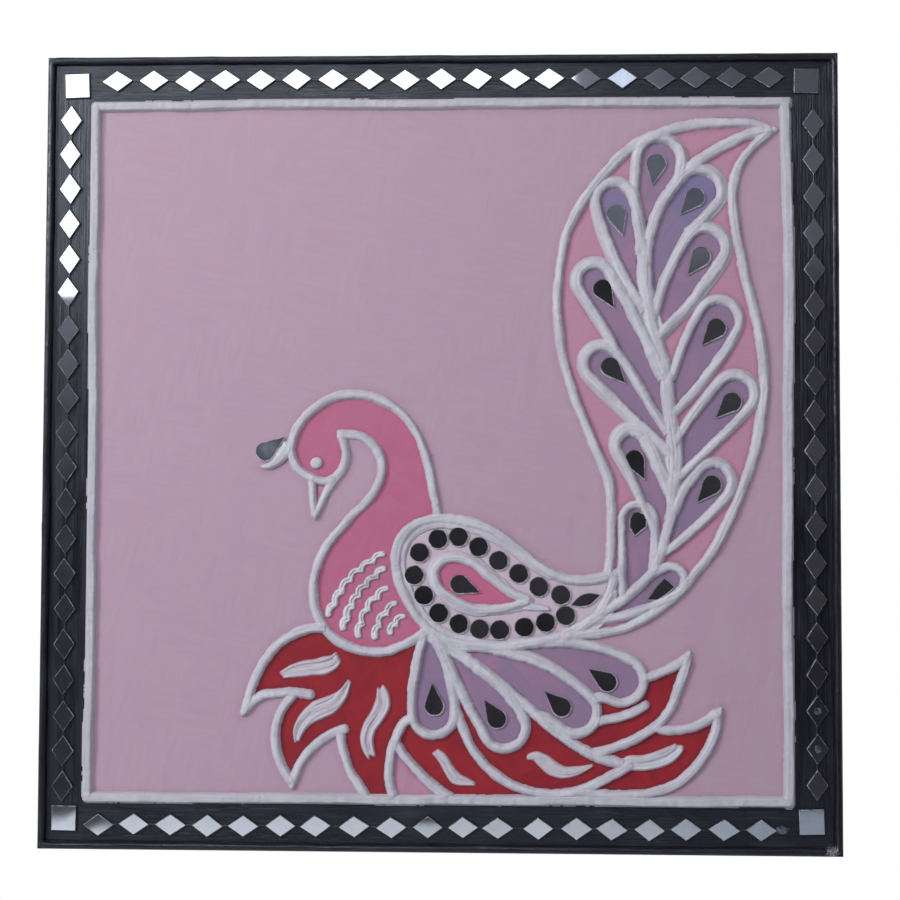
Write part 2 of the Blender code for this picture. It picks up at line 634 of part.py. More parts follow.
def make_diamond_row(side, glass):
    """One side's diamonds on their bead of glue, fused into one solid."""
    share, shift = DIAMOND_ROWS[side]
    run = share * BOARD_SIDE - DIAMOND_LENGTH
    count = int(run / (DIAMOND_LENGTH + DIAMOND_GAP)) + 1
    aside = BOARD_SIDE / 2 - DIAMOND_ROW_INSET
    upright = side in ("left", "right")
    if side in ("left", "bottom"):
        aside = -aside

    def place(along, across):
        if upright:
            return Vector((aside + across, along + shift))
        return Vector((along + shift, aside + across))

    ends = (run / 2, GLUE_BEAD_WIDTH / 2)
    corners = [place(-ends[0], -ends[1]), place(ends[0], -ends[1]), place(ends[0], ends[1]),
               place(-ends[0], ends[1])]
    row = prism(f"diamond_row_{side}", corners, GLUE_BEAD_HEIGHT, glass)
    for number in range(count):
        along = -run / 2 + run * number / (count - 1)
        centre = place(along, hand.uniform(-1, 1) * DIAMOND_JITTER)
        tilt = (90 if upright else 0) + hand.uniform(-1, 1) * DIAMOND_TILT
        outline = quad_outline(centre, DIAMOND_LENGTH, DIAMOND_WIDTH, tilt)
        combine(row, prism("diamond", outline, MIRROR_THICKNESS, glass), "UNION")


def make_board(paint):
    """The square board."""
    half = BOARD_SIDE / 2
    verts = [(x * half, y, z * half) for y in (0.0, -BOARD_THICKNESS)
             for x, z in ((-1, -1), (1, -1), (1, 1), (-1, 1))]
    faces = [(0, 1, 2, 3), (7, 6, 5, 4)] + [(k, k + 4, (k + 1) % 4 + 4, (k + 1) % 4) for k in range(4)]
    return solid("board", verts, faces, paint)


def build():
    """Every piece of the panel."""
    clear_scene()
    paint = material("painted_board", (0.45, 0.33, 0.45), 0.6)
    black = material("black_clay", (0.012, 0.013, 0.017), 0.45)
    clay = material("white_clay", (0.60, 0.58, 0.66), 0.6)
    glass = material("mirror", (0.75, 0.78, 0.82), 0.05, 1.0)
    make_board(paint)
    rim_half = (BOARD_SIDE - RIM_WIDTH) / 2
    ring_coil("rim_coil", rim_half, RIM_CORNER_RADIUS, RIM_WIDTH, RIM_HEIGHT, black)
    ring_coil("border_coil", PICTURE_SIDE / 2, BORDER_WIDTH / 2, BORDER_WIDTH, BORDER_HEIGHT, clay)
    outlines = round_outlines() | drop_outlines()
    for name, outline in outlines.items():
        prism(name, outline, MIRROR_THICKNESS, glass)
    make_relief(clay, outlines.values())
    make_heart_coil(clay)
    make_eye(clay)
    for number, points in enumerate(FLAMES):
        flame(f"flame_{number + 1}", points, clay, FLAME_HEIGHT)
    for number, strip in enumerate(SCALLOPS):
        make_scallop(f"scallop_{number + 1}", *strip, clay)
    make_corner_mirrors(glass)
    for side in DIAMOND_ROWS:
        make_diamond_row(side, glass)


build()
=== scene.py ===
"""Looks of the mirror-work peacock panel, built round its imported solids.

The panel hangs upright with its picture towards -Y. The figure is drawn on the picture's grid,
in grid units from the middle of the panel, x to the right and z up.
"""

import math

import bpy
import numpy as np
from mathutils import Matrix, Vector, kdtree, noise


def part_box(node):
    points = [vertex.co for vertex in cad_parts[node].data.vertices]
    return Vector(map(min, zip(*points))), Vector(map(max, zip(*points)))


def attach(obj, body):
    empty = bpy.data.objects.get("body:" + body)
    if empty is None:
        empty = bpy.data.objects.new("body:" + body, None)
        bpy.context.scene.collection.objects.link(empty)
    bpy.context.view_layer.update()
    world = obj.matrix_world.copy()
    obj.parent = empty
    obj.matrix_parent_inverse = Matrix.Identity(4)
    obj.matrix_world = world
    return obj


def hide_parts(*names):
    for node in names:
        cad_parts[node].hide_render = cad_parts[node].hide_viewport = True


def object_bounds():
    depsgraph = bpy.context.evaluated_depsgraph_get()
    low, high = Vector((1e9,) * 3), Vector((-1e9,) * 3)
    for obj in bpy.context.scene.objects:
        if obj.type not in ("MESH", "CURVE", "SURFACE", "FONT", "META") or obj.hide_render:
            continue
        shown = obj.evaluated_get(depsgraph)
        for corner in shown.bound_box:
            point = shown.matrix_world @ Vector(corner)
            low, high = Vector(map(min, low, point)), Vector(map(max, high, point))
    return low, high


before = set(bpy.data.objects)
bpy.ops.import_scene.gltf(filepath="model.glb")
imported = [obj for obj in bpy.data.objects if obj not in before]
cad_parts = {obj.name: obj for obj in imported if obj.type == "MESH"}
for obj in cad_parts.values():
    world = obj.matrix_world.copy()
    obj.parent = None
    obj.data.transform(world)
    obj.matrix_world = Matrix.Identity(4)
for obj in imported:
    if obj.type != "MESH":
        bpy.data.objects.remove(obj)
cad_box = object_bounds()

# Places that come from the frame
BORDER_LOW, BORDER_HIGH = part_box("border_coil")
RIM_LOW, RIM_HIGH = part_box("rim_coil")
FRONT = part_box("board")[0].y
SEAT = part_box("eye_dot")[1].y

# Clay
BORDER_WIDTH = 0.0046
RIM_WIDTH = 0.0044
RIM_CORNER_RADIUS = 0.0024
COIL_HEIGHT = 0.0026
SHOULDER_WIDTH = 0.0024
SHOULDER_HEIGHT = 0.0010
FLAME_HEIGHT = 0.0021
SCALLOP_WIDTH = 0.0033
SCALLOP_HEIGHT = 0.0015
SCALLOP_DEPTH = 0.0017
SPUR_LENGTH = 0.0021
GROOVE_WIDTH = 0.0005
GROOVE_DEPTH = 0.0007
ROLL_STEP = 0.0009
PRESS_STEP = 0.00013
RASTER = 0.00025
SOFTENING = 0.00019
BLEND_POWER = 4
FOOT_Y = FRONT - 0.00005
FOOT_CUT = 0.00007
MARK_STEP = 0.0008

# Cross-sections: shares of the width and of the height
ROLL_PROFILE = (
    (-0.56, 0.0), (-0.50, 0.12), (-0.45, 0.42), (-0.37, 0.74), (-0.26, 0.92), (-0.13, 0.99), (0.0, 1.0),
    (0.13, 0.99), (0.26, 0.92), (0.37, 0.74), (0.45, 0.42), (0.50, 0.12), (0.56, 0.0),
)

# Mirrors
MIRROR_THICKNESS = 0.0012
MIRROR_BEVEL = 0.00036
ROUND_DIAMETER = 0.0096
ROUND_GAP = 0.0017
DROP_LENGTH = 0.0163
DROP_WIDTH = 0.0098
LEAF_MIRROR_LENGTH = 0.0157
LEAF_MIRROR_WIDTH = 0.0062
DIAMOND_LENGTH = 0.0160
DIAMOND_WIDTH = 0.0112
DIAMOND_COUNTS = {"top": 19, "right": 19, "bottom": 19, "left": 20}
GLUE_SPREAD = 0.00030
# The pale glue is shifted towards the lower right and stands nearly as high as the glass, so it shows as a
# bright rim there: real glue, placed as a painted highlight.
GLUE_SLIP = (0.00016, -0.00020)
GLUE_HEIGHT = 0.0009
BEAD_WIDTH = 0.0008
BEAD_HEIGHT = 0.0004
SMEAR_HEIGHT = 0.00007
SMEAR_CORNERS = 18
SMEAR_LIFT = 0.00004
MARK_SIZE = (0.0034, 0.0040)
SPILL_SIZE = (0.0068, 0.0040)
SPILL_OFFSET = 0.0105

# Material slots of the mirrors, in the order of their finishes. The lit edge is the pale edge colour, partly
# painted highlight, the shaded edge is painted shade, and the pale glue also serves as a painted highlight rim.
SILVER, LIT_EDGE, PALE_GLUE_AND_HIGHLIGHT, DARK_GLUE, SHADED_EDGE, SMEARED_GLUE = range(6)

# The picture's grid
GRID_UNITS = 355.6
PICTURE_SIDE = BORDER_HIGH.x - BORDER_LOW.x - BORDER_WIDTH
UNIT = PICTURE_SIDE / GRID_UNITS

# Paint layers, as heights over the board's front
GROUND_LAYER = 0.00010
AREA_LAYER = 0.00014
WING_LAYER = 0.00026
TOP_LAYER = 0.00030
LOOP_LAYERS = (0.00018, 0.00021, 0.00024)
GROUND_STEP = 0.0013
AREA_STEP = 0.0008

# Camera, as solved from the panel's corners in the photograph
CAMERA_PLACE = (0.0344, -0.8340, -0.0369)
CAMERA_TURN = (92.540, -0.196, 1.960)
CAMERA_LENS = 65.2

# Worn spot on the rim's lower right corner
WORN_SPOT = (0.1975, -0.0075, -0.2005)

# Direction in which the crest mirror shows a soft light
CREST_GLOW = (-0.136, -0.989, 0.061)

# Peacock's body: back of the neck and brow, beak, throat and breast
NECK_BACK = (
    (0, -34), (-2.7, -20), (-6, -4.9), (-11.6, 9), (-20, 19.7), (-34.6, 27.3), (-50.8, 27.6),
    (-65.4, 19.7), (-73.5, 9.2), (-75.1, -1.5), (-71.5, -9.9), (-63.8, -15.5),
)
BEAK_FRONT = ((-64.3, -14.5), (-63.6, -25), (-62.7, -35.2))
BEAK_BACK = (
    (-62.9, -36), (-57.9, -24.2), (-53, -15.6), (-48.4, -9.3), (-47.1, -3), (-48.3, 3.5), (-49.7, 9.6),
)
BROW_BAR = ((-64.3, -14.8), (-58.8, -16.2), (-52.8, -14.6))
BREAST = (
    (-51.4, 7.5), (-41.5, 7.2), (-34, 3), (-29.2, -5), (-29, -14), (-33.8, -23.4), (-43.1, -33),
    (-53.1, -43.6), (-61, -57.9), (-63.3, -70), (-62.2, -81), (-57.3, -91), (-47.6, -98.8),
    (-36, -102.4), (-24.6, -102.1), (-14.3, -97.7), (-4.5, -91.3),
)
CREST_COIL = ((-76.4, 3), (-78, -1.4), (-80.8, -5), (-84.2, -7.8), (-87.6, -9), (-90.8, -8.8))

# Paisley wing: its outline, the ring round its pink heart, and the middles of its round mirrors
WING_OUTLINE = (
    (88.5, -62.9), (77.7, -65.8), (65.4, -65.5), (53.1, -60.1), (40.8, -50.1), (25.4, -40.1),
    (10, -35.6), (0.4, -35), (-10.5, -37.5), (-18.8, -45.7), (-21.4, -56), (-19.7, -66.2),
    (-14.2, -78.4), (-5, -90.5), (4.9, -96.2), (20, -98.9), (36, -99.2), (50, -97), (64, -94.4),
)
WING_HEART = (
    (45.4, -77), (36.2, -72), (25.4, -63.5), (17.7, -57.7), (9, -55.2), (1.5, -57), (-2, -62.3),
    (0, -69.5), (6, -75), (15, -79.7), (28, -80.8), (40, -78.7),
)
ROUND_LOOP = (
    (-9.4, -52.3), (-5.2, -47.6), (0.3, -45.3), (10.7, -44.2), (20.8, -49.4), (30.7, -56.2), (40.9, -62.7),
    (50.8, -69.2), (62.3, -73.5), (64.5, -84.3), (54.1, -87.4), (43.5, -89.8), (31.2, -91.2),
    (21.1, -90.8), (10.7, -88.2), (0.5, -82.8), (-7, -73.9), (-12, -63.8),
)
ROUND_DRIFT = (
    0, 0.3, -0.2, -0.25, 0.1, 0.45, 0.75, 1.0, 0.7, 0.55, 0.25, 0.75, 0.1, -0.3, -0.25, -0.15, -0.2,
)
LEAF_MIRROR_PLACE = (74.8, -75.8)
LEAF_MIRROR_ANGLE = 20

# Tail leaf: both edges run from its tip, and the stem gathers the feathers at its root
TAIL_TIP = (169.4, 163.3)
TAIL_LEFT_EDGE = (
    TAIL_TIP, (162.2, 166.4), (146.2, 167.6), (122.1, 164.8), (98.9, 155.2), (82.1, 139.1),
    (70, 121.5), (62.8, 99.9), (60.4, 76), (62.8, 50.9), (69.6, 26.9), (78.5, 4.2), (86, -14.2),
    (87.8, -36.5), (87.2, -53), (85.8, -63.5),
)
TAIL_RIGHT_EDGE = (
    TAIL_TIP, (160, 155), (152.6, 144.7), (149.4, 128), (151.4, 111.9), (156.6, 85.4), (162.2, 62.9),
    (165, 38.9), (163, 14.9), (157.7, -8.8), (148.5, -31.9), (137.7, -52.7), (123.8, -69.6),
    (106.9, -83.5), (93.1, -90.4), (78.5, -92.7), (62.5, -94.8),
)
TAIL_VEIN = (
    (169.5, 163.2), (158, 160.8), (146.2, 156), (132.5, 147.9), (121, 136.5), (112.5, 123.6),
    (107.3, 110.3), (106, 95.9), (106.2, 80), (108.3, 66),
)
TAIL_STEM = (
    (103.4, 100), (104.3, 84), (106.9, 70.2), (110.5, 56.5), (114.5, 42.9), (116.7, 26.9), (118.6, 10.9),
    (119.9, -2), (119.2, -18.1), (118.1, -31.9), (115, -44.2), (109.2, -60.2), (101.5, -68.8),
    (92.3, -76.7), (82.3, -83.2), (73, -89.2), (64, -93.6),
)
TAIL_ROOT = ((94, -60.5), (89.9, -62.4), (88.5, -67.4), (86.2, -74.3), (81, -83.5))

# Feather and petal loops: start of the loop, middle and radius of its round head, its
# direction in degrees, end of the loop
FEATHER_LOOPS = (
    ((104, 103), (112.3, 148.4), 11.3, 80, (121.8, 136.5)),
    ((112.5, 123.6), (132.4, 132.4), 11.1, 54, (126.5, 111)),
    ((105, 71), (89.7, 127.4), 9.6, 103, (103.4, 100)),
    ((108.8, 66), (135.4, 103), 10.6, 58, (111.7, 57.3)),
    ((116.5, 8.5), (79.2, 86.2), 8.9, 122, (114.3, 36)),
    ((117.2, 33), (142.2, 66), 10.6, 60, (118.6, 18)),
    ((118.8, -2.5), (83, 44), 9.0, 135, (102.2, 32.5)),
    ((119.3, 3), (150.2, 28.4), 10.0, 48, (120.2, -14.5)),
    ((110.1, -42), (98, 2.4), 7.9, 118, (118.6, -24)),
    ((119.3, -32), (139.3, -16.2), 9.5, 50, (111.6, -54)),
    ((93.6, -73.5), (101.1, -35.7), 8.4, 92, (108.6, -60)),
    ((105.5, -64.5), (117.2, -66), 7.6, 30, (79, -86.6)),
)
PETAL_LOOPS = (
    ((-2.6, -93.5), (-2, -133.6), 10.8, -89, (-7, -93.5)),
    ((19.9, -110.1), (33.6, -140), 10.8, -62, (0.5, -97.5)),
    ((12, -99), (69.6, -132.2), 10.9, -44, (50, -133.2)),
    ((36, -99.3), (92.8, -116), 11.3, -25, (78.6, -125.6)),
)
PETAL_DIVIDER = (
    (-4, -92), (3, -99), (11.4, -104), (19.9, -110.1), (28.4, -115.6), (43.2, -127.5), (54.8, -138.1),
    (68.6, -148.7), (81.3, -154.5), (93.5, -157.8),
)
PETAL_TWIG = ((80, -136.8), (92.9, -134), (102, -130.4), (106.4, -127.6))

# How wide the loops' clay is, from the start's arm over the head to the end's arm, and how far
# the clay is spread outwards along them
FEATHER_WIDTHS = (
    (4.0, 4.4, 4.4, 4.8, 5.0), (4.6, 4.4, 5.0, 5.2, 4.6), (4.6, 4.8, 4.6, 5.2, 5.6),
    (4.6, 4.8, 5.2, 5.4, 5.0), (4.6, 4.2, 5.2, 6.4, 6.0), (4.4, 4.4, 4.6, 4.6, 4.6),
    (4.8, 5.0, 5.0, 5.2, 2.6), (4.4, 4.6, 5.0, 4.4, 4.2), (3.8, 4.0, 5.6, 7.0, 6.0),
    (4.4, 4.6, 4.8, 4.6, 4.2), (4.0, 3.8, 3.6, 4.4, 4.6), (4.4, 4.4, 4.4, 4.6, 4.6),
)
FEATHER_SPREADS = (
    (0, 0, 0.2, 0.6, 0.3), (0, 0, 0.8, 1, 0.4), (0.4, 1, 0.8, 0.4, 0), (0, 0.2, 0.6, 0.9, 0.3),
    (0, 0.2, 0.4, 0.8, 0.6), (0, 0, 0.3, 0.4, 0.2), (0.6, 0.9, 0.9, 0.6, 0.3), (0.2, 0.4, 0.5, 0.3, 0),
    (0, 0.3, 0.7, 0.9, 0.5), (0.3, 0.4, 0.5, 0.2, 0), (0, 0, 0, 0.2, 0.2), (0, 0, 0, 0.3, 0.4),
)
PETAL_WIDTHS = (
    (5.6, 4.8, 4.4, 4.2, 4.0), (5.4, 5.2, 4.4, 4.6, 5.2), (6.2, 5.6, 4.8, 4.6, 4.8), (6.0, 5.2, 4.8, 4.6, 4.8),
)
PETAL_SPREADS = ((0.3, 0.2, 0, 0, 0), (0.5, 0.3, 0, 0, 0.2), (0.8, 0.5, 0.2, 0, 0.2), (0.5, 0.3, 0.2, 0, 0.2))

# Clay smeared over the joints: points of a middle line with the smear's width there
SMEARS = (
    ((58, -80.6, 1.5), (50, -79.8, 3.6), (43, -78.6, 5)),
    ((68, -93.5, 2), (78, -88.5, 7), (85, -81.5, 7), (90, -71, 2)),
    ((170, 163.2, 2), (164, 162.2, 6), (157, 161.2, 5), (150, 158.4, 2)),
    ((113, 50, 2), (110.5, 62, 7), (107.5, 76, 6.5), (105.5, 90, 2)),
    ((118, 24, 2), (119.5, 6, 8), (119.5, -6, 8), (118, -26, 2)),
    ((-9, -92, 2), (0, -96, 7.5), (10, -98.6, 6.5), (26, -100.6, 1.5)),
)

# Leaf edges under the bird, from left to right, with the ends that show
LEAF_EDGES = (
    ("end", ((-57, -90.6), (-66.5, -91.4), (-79.6, -98), (-87.9, -107.3), (-93.5, -118.8), (-98.2, -133))),
    ("start end", ((-98.2, -133), (-91.5, -126.2), (-81.9, -123.7), (-72, -123.1), (-62.3, -124.7))),
    ("end", ((-72.8, -124.2), (-79.2, -132.7), (-82, -144.2), (-80.4, -156.5), (-73.3, -169.4))),
    ("start end", ((-73.3, -169.4), (-69.6, -159), (-60.4, -148.6), (-53, -144), (-45, -141.4))),
    ("", ((-49.5, -142.8), (-47.6, -152), (-43.5, -164), (-36.5, -174.2), (-34.5, -178))),
    ("", ((-11, -135.8), (-15.8, -137.3), (-20.8, -145), (-23.8, -158), (-24.2, -168), (-21.4, -177))),
    ("", ((-22, -147), (-16.5, -155), (-8.1, -164.2), (1.2, -171.9), (7, -175.6))),
    ("", ((8.8, -130), (13.6, -143), (22, -156.6), (33.7, -166.7), (46, -172), (60, -173.2), (74, -170.8),
          (86.5, -164.6), (98, -157.9))),
    ("end", ((79, -152.6), (90.8, -149.4), (104.5, -142.7), (116.2, -132.3), (122.2, -117.5),
             (126.4, -103.8))),
    ("start", ((126.4, -103.8), (120.4, -108.4), (112, -112.6), (102.8, -115.6))),
    ("end", ((109.5, -139.6), (118, -140.9), (130.5, -138.5), (141.6, -131.6))),
    ("start", ((141.6, -131.6), (139.8, -142), (133.1, -154.5), (121.4, -167), (108, -172.2),
               (93.9, -173.6), (80, -172.8), (66, -172.6))),
)

# Tapered dabs: points of the middle line with the dab's width there
FLAMES = (
    ((-80.3, -115, 2.6), (-74, -112.8, 6.2), (-66, -111, 7.4), (-58.4, -110, 8), (-52.6, -107.6, 7),
     (-49.6, -104.2, 4.4)),
    ((-71.2, -149.5, 1.5), (-70.4, -143, 4.8), (-66.8, -137, 7), (-60.8, -132.4, 9.2), (-54.3, -129.5, 8.4),
     (-48.8, -125, 5.4), (-44, -116, 1)),
    ((-29.6, -118.2, 2), (-27.8, -123.4, 5.6), (-27.8, -129, 7.4), (-30.6, -135, 7.6), (-34.2, -140.5, 7),
     (-35.7, -146.5, 6.4), (-34.6, -152, 5), (-32, -157.4, 3)),
    ((-2, -151.6, 3.2), (2.6, -155.8, 4.4), (6.2, -161.6, 5), (9.6, -165.9, 5.6), (14.6, -167.5, 3.6),
     (20.5, -168.9, 0.8)),
    ((45.6, -155.4, 2.5), (49.5, -154.6, 4.4), (53.8, -157, 6.4), (58.4, -160.6, 6.8), (63.3, -162.4, 5.8),
     (69.6, -161.8, 4.5), (78.2, -158.9, 0.8)),
)
JOINED_FLAME = (
    (91.5, -157.6, 3), (96.5, -157.4, 6), (103.5, -157.4, 7.4), (111.5, -155.6, 7.6),
    (117.2, -153, 7), (121.3, -149.6, 5), (122.8, -146.8, 1.6),
)

# Wavy strips on the breast: lower end, upper end, bow towards the upper left, number of waves
SCALLOPS = (
    ((-55.2, -85.4), (-26.6, -53), 4.8, 6),
    ((-47.6, -92.2), (-26, -60.6), 4.2, 6),
    ((-39.8, -96), (-24.6, -70), 3.6, 4),
    ((-31.4, -96.6), (-20.2, -77.8), 2.6, 3),
    ((-24, -94.4), (-15.8, -84.8), 1.8, 2),
)

# Teardrop mirrors: the point, and the direction from it to the round end
CREST_MIRROR = (-78.6, 6.3, 217)
WING_MIRROR = (21.6, -72.4, 158)
FEATHER_MIRRORS = (
    (108.7, 135.2, 79), (123, 120.3, 49), (93.5, 109.4, 106), (126.6, 89.3, 54), (89.2, 72.3, 121),
    (133.7, 53.3, 50), (95, 33.9, 133), (140.6, 16.4, 45), (104.6, -15, 117), (131, -26.3, 50),
)
PETAL_MIRRORS = ((-2.6, -118.2, -85), (23.7, -126.4, -56), (54.2, -122, -43), (76.2, -110.6, -34))
BROKEN_DROP_OUTLINE = (
    (97.2, -39.6), (99.4, -43.4), (102.6, -40.8), (105.2, -39), (105.5, -35.4), (104.2, -32.3),
    (101.3, -31.1), (98.6, -31.9), (97, -35),
)
SHARD_OUTLINE = ((109.4, -70.2), (105.6, -75.6), (111, -75.8), (115.6, -72.6), (119.6, -69), (114.6, -64.6))

# Points drawn out of the leaves and the tail: place and direction in degrees
LEAF_TIPS = (
    (-98.2, -133, 245), (-73.3, -169.4, 280), (126.4, -103.8, 68), (141.6, -131.6, 58), (170.2, 163.5, 8),
)

# Middles of the border's strips, as distances from the panel's middle: top and bottom from
# left to right, left and right from bottom to top
BORDER_LINES = {
    "top": (177.2, 177.4, 178, 177.6, 177.8, 177.9, 177.8, 177.6),
    "bottom": (176.8, 176.9, 176.4, 176.8, 176.6, 176.2, 176.6, 176),
    "left": (178, 177.5, 177, 177.2, 177.2, 177.9, 177.6, 177.5),
    "right": (176.5, 176.6, 176.3, 176.6, 177.1, 177.9, 177.3, 175.7),
}

# Colours, linear
FIELD_PINK = (0.46, 0.325, 0.425)
FIELD_STREAK = (0.475, 0.30, 0.415)
FIELD_HALO = (0.44, 0.272, 0.378)
TAIL_PINK = (0.51, 0.245, 0.36)
TAIL_STREAK = (0.44, 0.26, 0.35)
TAIL_HALO = (0.42, 0.16, 0.25)
BEAK_EDGE = (0.22, 0.025, 0.05)
BODY_PINK = (0.49, 0.13, 0.235)
BODY_STREAK = (0.47, 0.16, 0.26)
BODY_HALO = (0.46, 0.11, 0.21)
HEART_PINK = (0.53, 0.13, 0.245)
PURPLE = (0.27, 0.185, 0.30)
PINKISH = (0.40, 0.20, 0.31)
BLUISH = (0.205, 0.18, 0.33)
PURPLE_HALO = (0.22, 0.16, 0.28)
WING_PALE = (0.60, 0.49, 0.585)
WING_STREAK = (0.56, 0.43, 0.53)
WING_HALO = (0.50, 0.42, 0.51)
LEAF_RED = (0.265, 0.011, 0.022)
LEAF_STREAK = (0.37, 0.018, 0.028)
LEAF_HALO = (0.19, 0.016, 0.026)
CLAY_WHITE = (0.58, 0.565, 0.635)
CLAY_SHADE = (0.43, 0.40, 0.48)
CLAY_LOW = (0.46, 0.345, 0.43)
BLACK = (0.0075, 0.008, 0.011)
FIBREBOARD = (0.24, 0.14, 0.075)

# Feather and petal paint: streak colour, how much of it, and the colour near the head
FEATHER_MIXES = (
    (PINKISH, 0.8, PURPLE), (BLUISH, 0.5, BLUISH), (PINKISH, 0.5, BLUISH), (PINKISH, 0.3, PURPLE),
    (PINKISH, 0.2, PURPLE), (PINKISH, 0.2, PURPLE), (PINKISH, 0.25, PURPLE), (PURPLE_HALO, 0.3, PURPLE),
    (PINKISH, 0.4, PURPLE), (PURPLE_HALO, 0.2, PURPLE), (PINKISH, 0.6, PURPLE), (PURPLE_HALO, 0.3, PURPLE),
)
PETAL_MIXES = (
    (PURPLE_HALO, 0.4, PURPLE), (PINKISH, 0.7, PURPLE), (PINKISH, 0.6, PURPLE), (PINKISH, 0.3, PURPLE),
)


def grid(points):
    """Figure points in metres, as rows of x and z."""
    return np.array([point[:2] for point in points], float) * UNIT


def heading(degrees):
    """The direction at an angle in the picture, and the direction to its left."""
    turn = math.radians(degrees)
    ahead = np.array((math.cos(turn), math.sin(turn)))
    return ahead, np.array((-ahead[1], ahead[0]))


def sideways(path, closed=False):
    """The direction to the left of a line, at each of its points."""
    tangent = np.roll(path, -1, axis=0) - np.roll(path, 1, axis=0) if closed else np.gradient(path, axis=0)
    tangent /= np.linalg.norm(tangent, axis=1)[:, None]
    return np.stack([-tangent[:, 1], tangent[:, 0]], axis=1)


def linked(name, data):
    """A new object in the scene."""
    made = bpy.data.objects.new(name, data)
    bpy.context.scene.collection.objects.link(made)
    return made


def curve(points, closed=False, steps=12):
    """A smooth curve through points, by Hermite spans."""
    count = len(points)
    spans = count if closed else count - 1
    steps_between = np.array([points[(k + 1) % count] - points[k] for k in range(spans)])
    lengths = np.linalg.norm(steps_between, axis=1)
    headings = steps_between / lengths[:, None]
    tangents = []
    for k in range(count):
        before, after = (k - 1) % spans, k % spans
        if closed or 0 < k < count - 1:
            blend = headings[before] * lengths[after] + headings[after] * lengths[before]
            tangents.append(blend / (lengths[before] + lengths[after]))
        else:
            tangents.append(headings[min(k, spans - 1)])
    t = (np.arange(steps) / steps)[:, None]
    parts = []
    for k in range(spans):
        start, end = points[k], points[(k + 1) % count]
        leave, arrive = tangents[k] * lengths[k], tangents[(k + 1) % count] * lengths[k]
        parts.append(
            start * (2 * t**3 - 3 * t**2 + 1) + leave * (t**3 - 2 * t**2 + t)
            + end * (3 * t**2 - 2 * t**3) + arrive * (t**3 - t**2)
        )
    if not closed:
        parts.append(points[-1:])
    return np.concatenate(parts)


def stroke(points, closed=False):
    """A figure stroke's middle line in metres."""
    return curve(grid(points), closed)


def loop(start, head, radius, direction, end):
    """A teardrop loop: two bowed sides from its ends to a round head."""
    middle, reach = np.array(head) * UNIT, radius * UNIT
    axis, left = heading(direction)
    t = np.linspace(0, 1, 24)[:, None]
    arms = []
    for side, foot in ((1, np.array(start) * UNIT), (-1, np.array(end) * UNIT)):
        shoulder = middle + left * side * reach
        bend = shoulder - axis * np.linalg.norm(shoulder - foot) / 2
        arms.append(foot * (1 - t)**2 + bend * 2 * t * (1 - t) + shoulder * t**2)
    turn = np.linspace(0, math.pi, 30)[1:-1, None]
    crown = middle + left * reach * np.cos(turn) + axis * reach * np.sin(turn)
    return np.concatenate([arms[0], crown, arms[1][::-1]])


def lengths_along(path):
    """Distance from the start at each point."""
    return np.concatenate([[0.0], np.cumsum(np.linalg.norm(np.diff(path, axis=0), axis=1))])


def resample(path, spacing, closed=False):
    """The same line with even spacing."""
    if closed:
        path = np.concatenate([path, path[:1]])
    marks = lengths_along(path)
    count = max(4, int(marks[-1] / spacing))
    places = np.linspace(0, marks[-1], count + 1)
    if closed:
        places = places[:-1]
    return np.stack([np.interp(places, marks, path[:, k]) for k in (0, 1)], axis=1)


def between(path, start, end):
    """The stretch of a line between the points nearest to two figure points."""
    first, last = (np.argmin(np.linalg.norm(path - np.array(p) * UNIT, axis=1)) for p in (start, end))
    if first <= last:
        return path[first:last + 1]
    return path[last:first + 1][::-1]


def drift(rng, places, spacing, amount):
    """Smooth seeded variation along a line."""
    knots = rng.normal(0, amount, int(places[-1] / spacing) + 3)
    index = (places / spacing).astype(int)
    t = places / spacing - index
    t = t * t * (3 - 2 * t)
    return knots[index] * (1 - t) + knots[index + 1] * t


class Body:
    """Vertices, faces and shading marks of one piece, gathered from several parts."""

    def __init__(self):
        self.verts, self.faces, self.slots = [], [], []
        self.grain, self.rise = [], []

    def add(self, verts, faces, slot=0, grain=None, rise=None):
        base = len(self.verts)
        self.verts.extend(verts)
        self.faces.extend([tuple(base + index for index in face) for face in faces])
        self.slots.extend([slot] * len(faces))
        self.grain.extend(grain if grain is not None else [(v[0], v[2], 0.0) for v in verts])
        self.rise.extend(rise if rise is not None else [1.0] * len(verts))

    def piece(self, name, finishes, smooth=True):
        mesh = bpy.data.meshes.new(name)
        mesh.from_pydata(self.verts, [], self.faces)
        for finish in finishes:
            mesh.materials.append(finish)
        mesh.polygons.foreach_set("material_index", self.slots)
        mesh.polygons.foreach_set("use_smooth", [smooth] * len(self.faces))
        grain = mesh.attributes.new("grain", "FLOAT_VECTOR", "POINT")
        grain.data.foreach_set("vector", np.array(self.grain, float).ravel())
        rise = mesh.attributes.new("rise", "FLOAT", "POINT")
        rise.data.foreach_set("value", np.array(self.rise, float))
        mesh.update()
        made = linked(name, mesh)
        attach(made, "root")
        return made


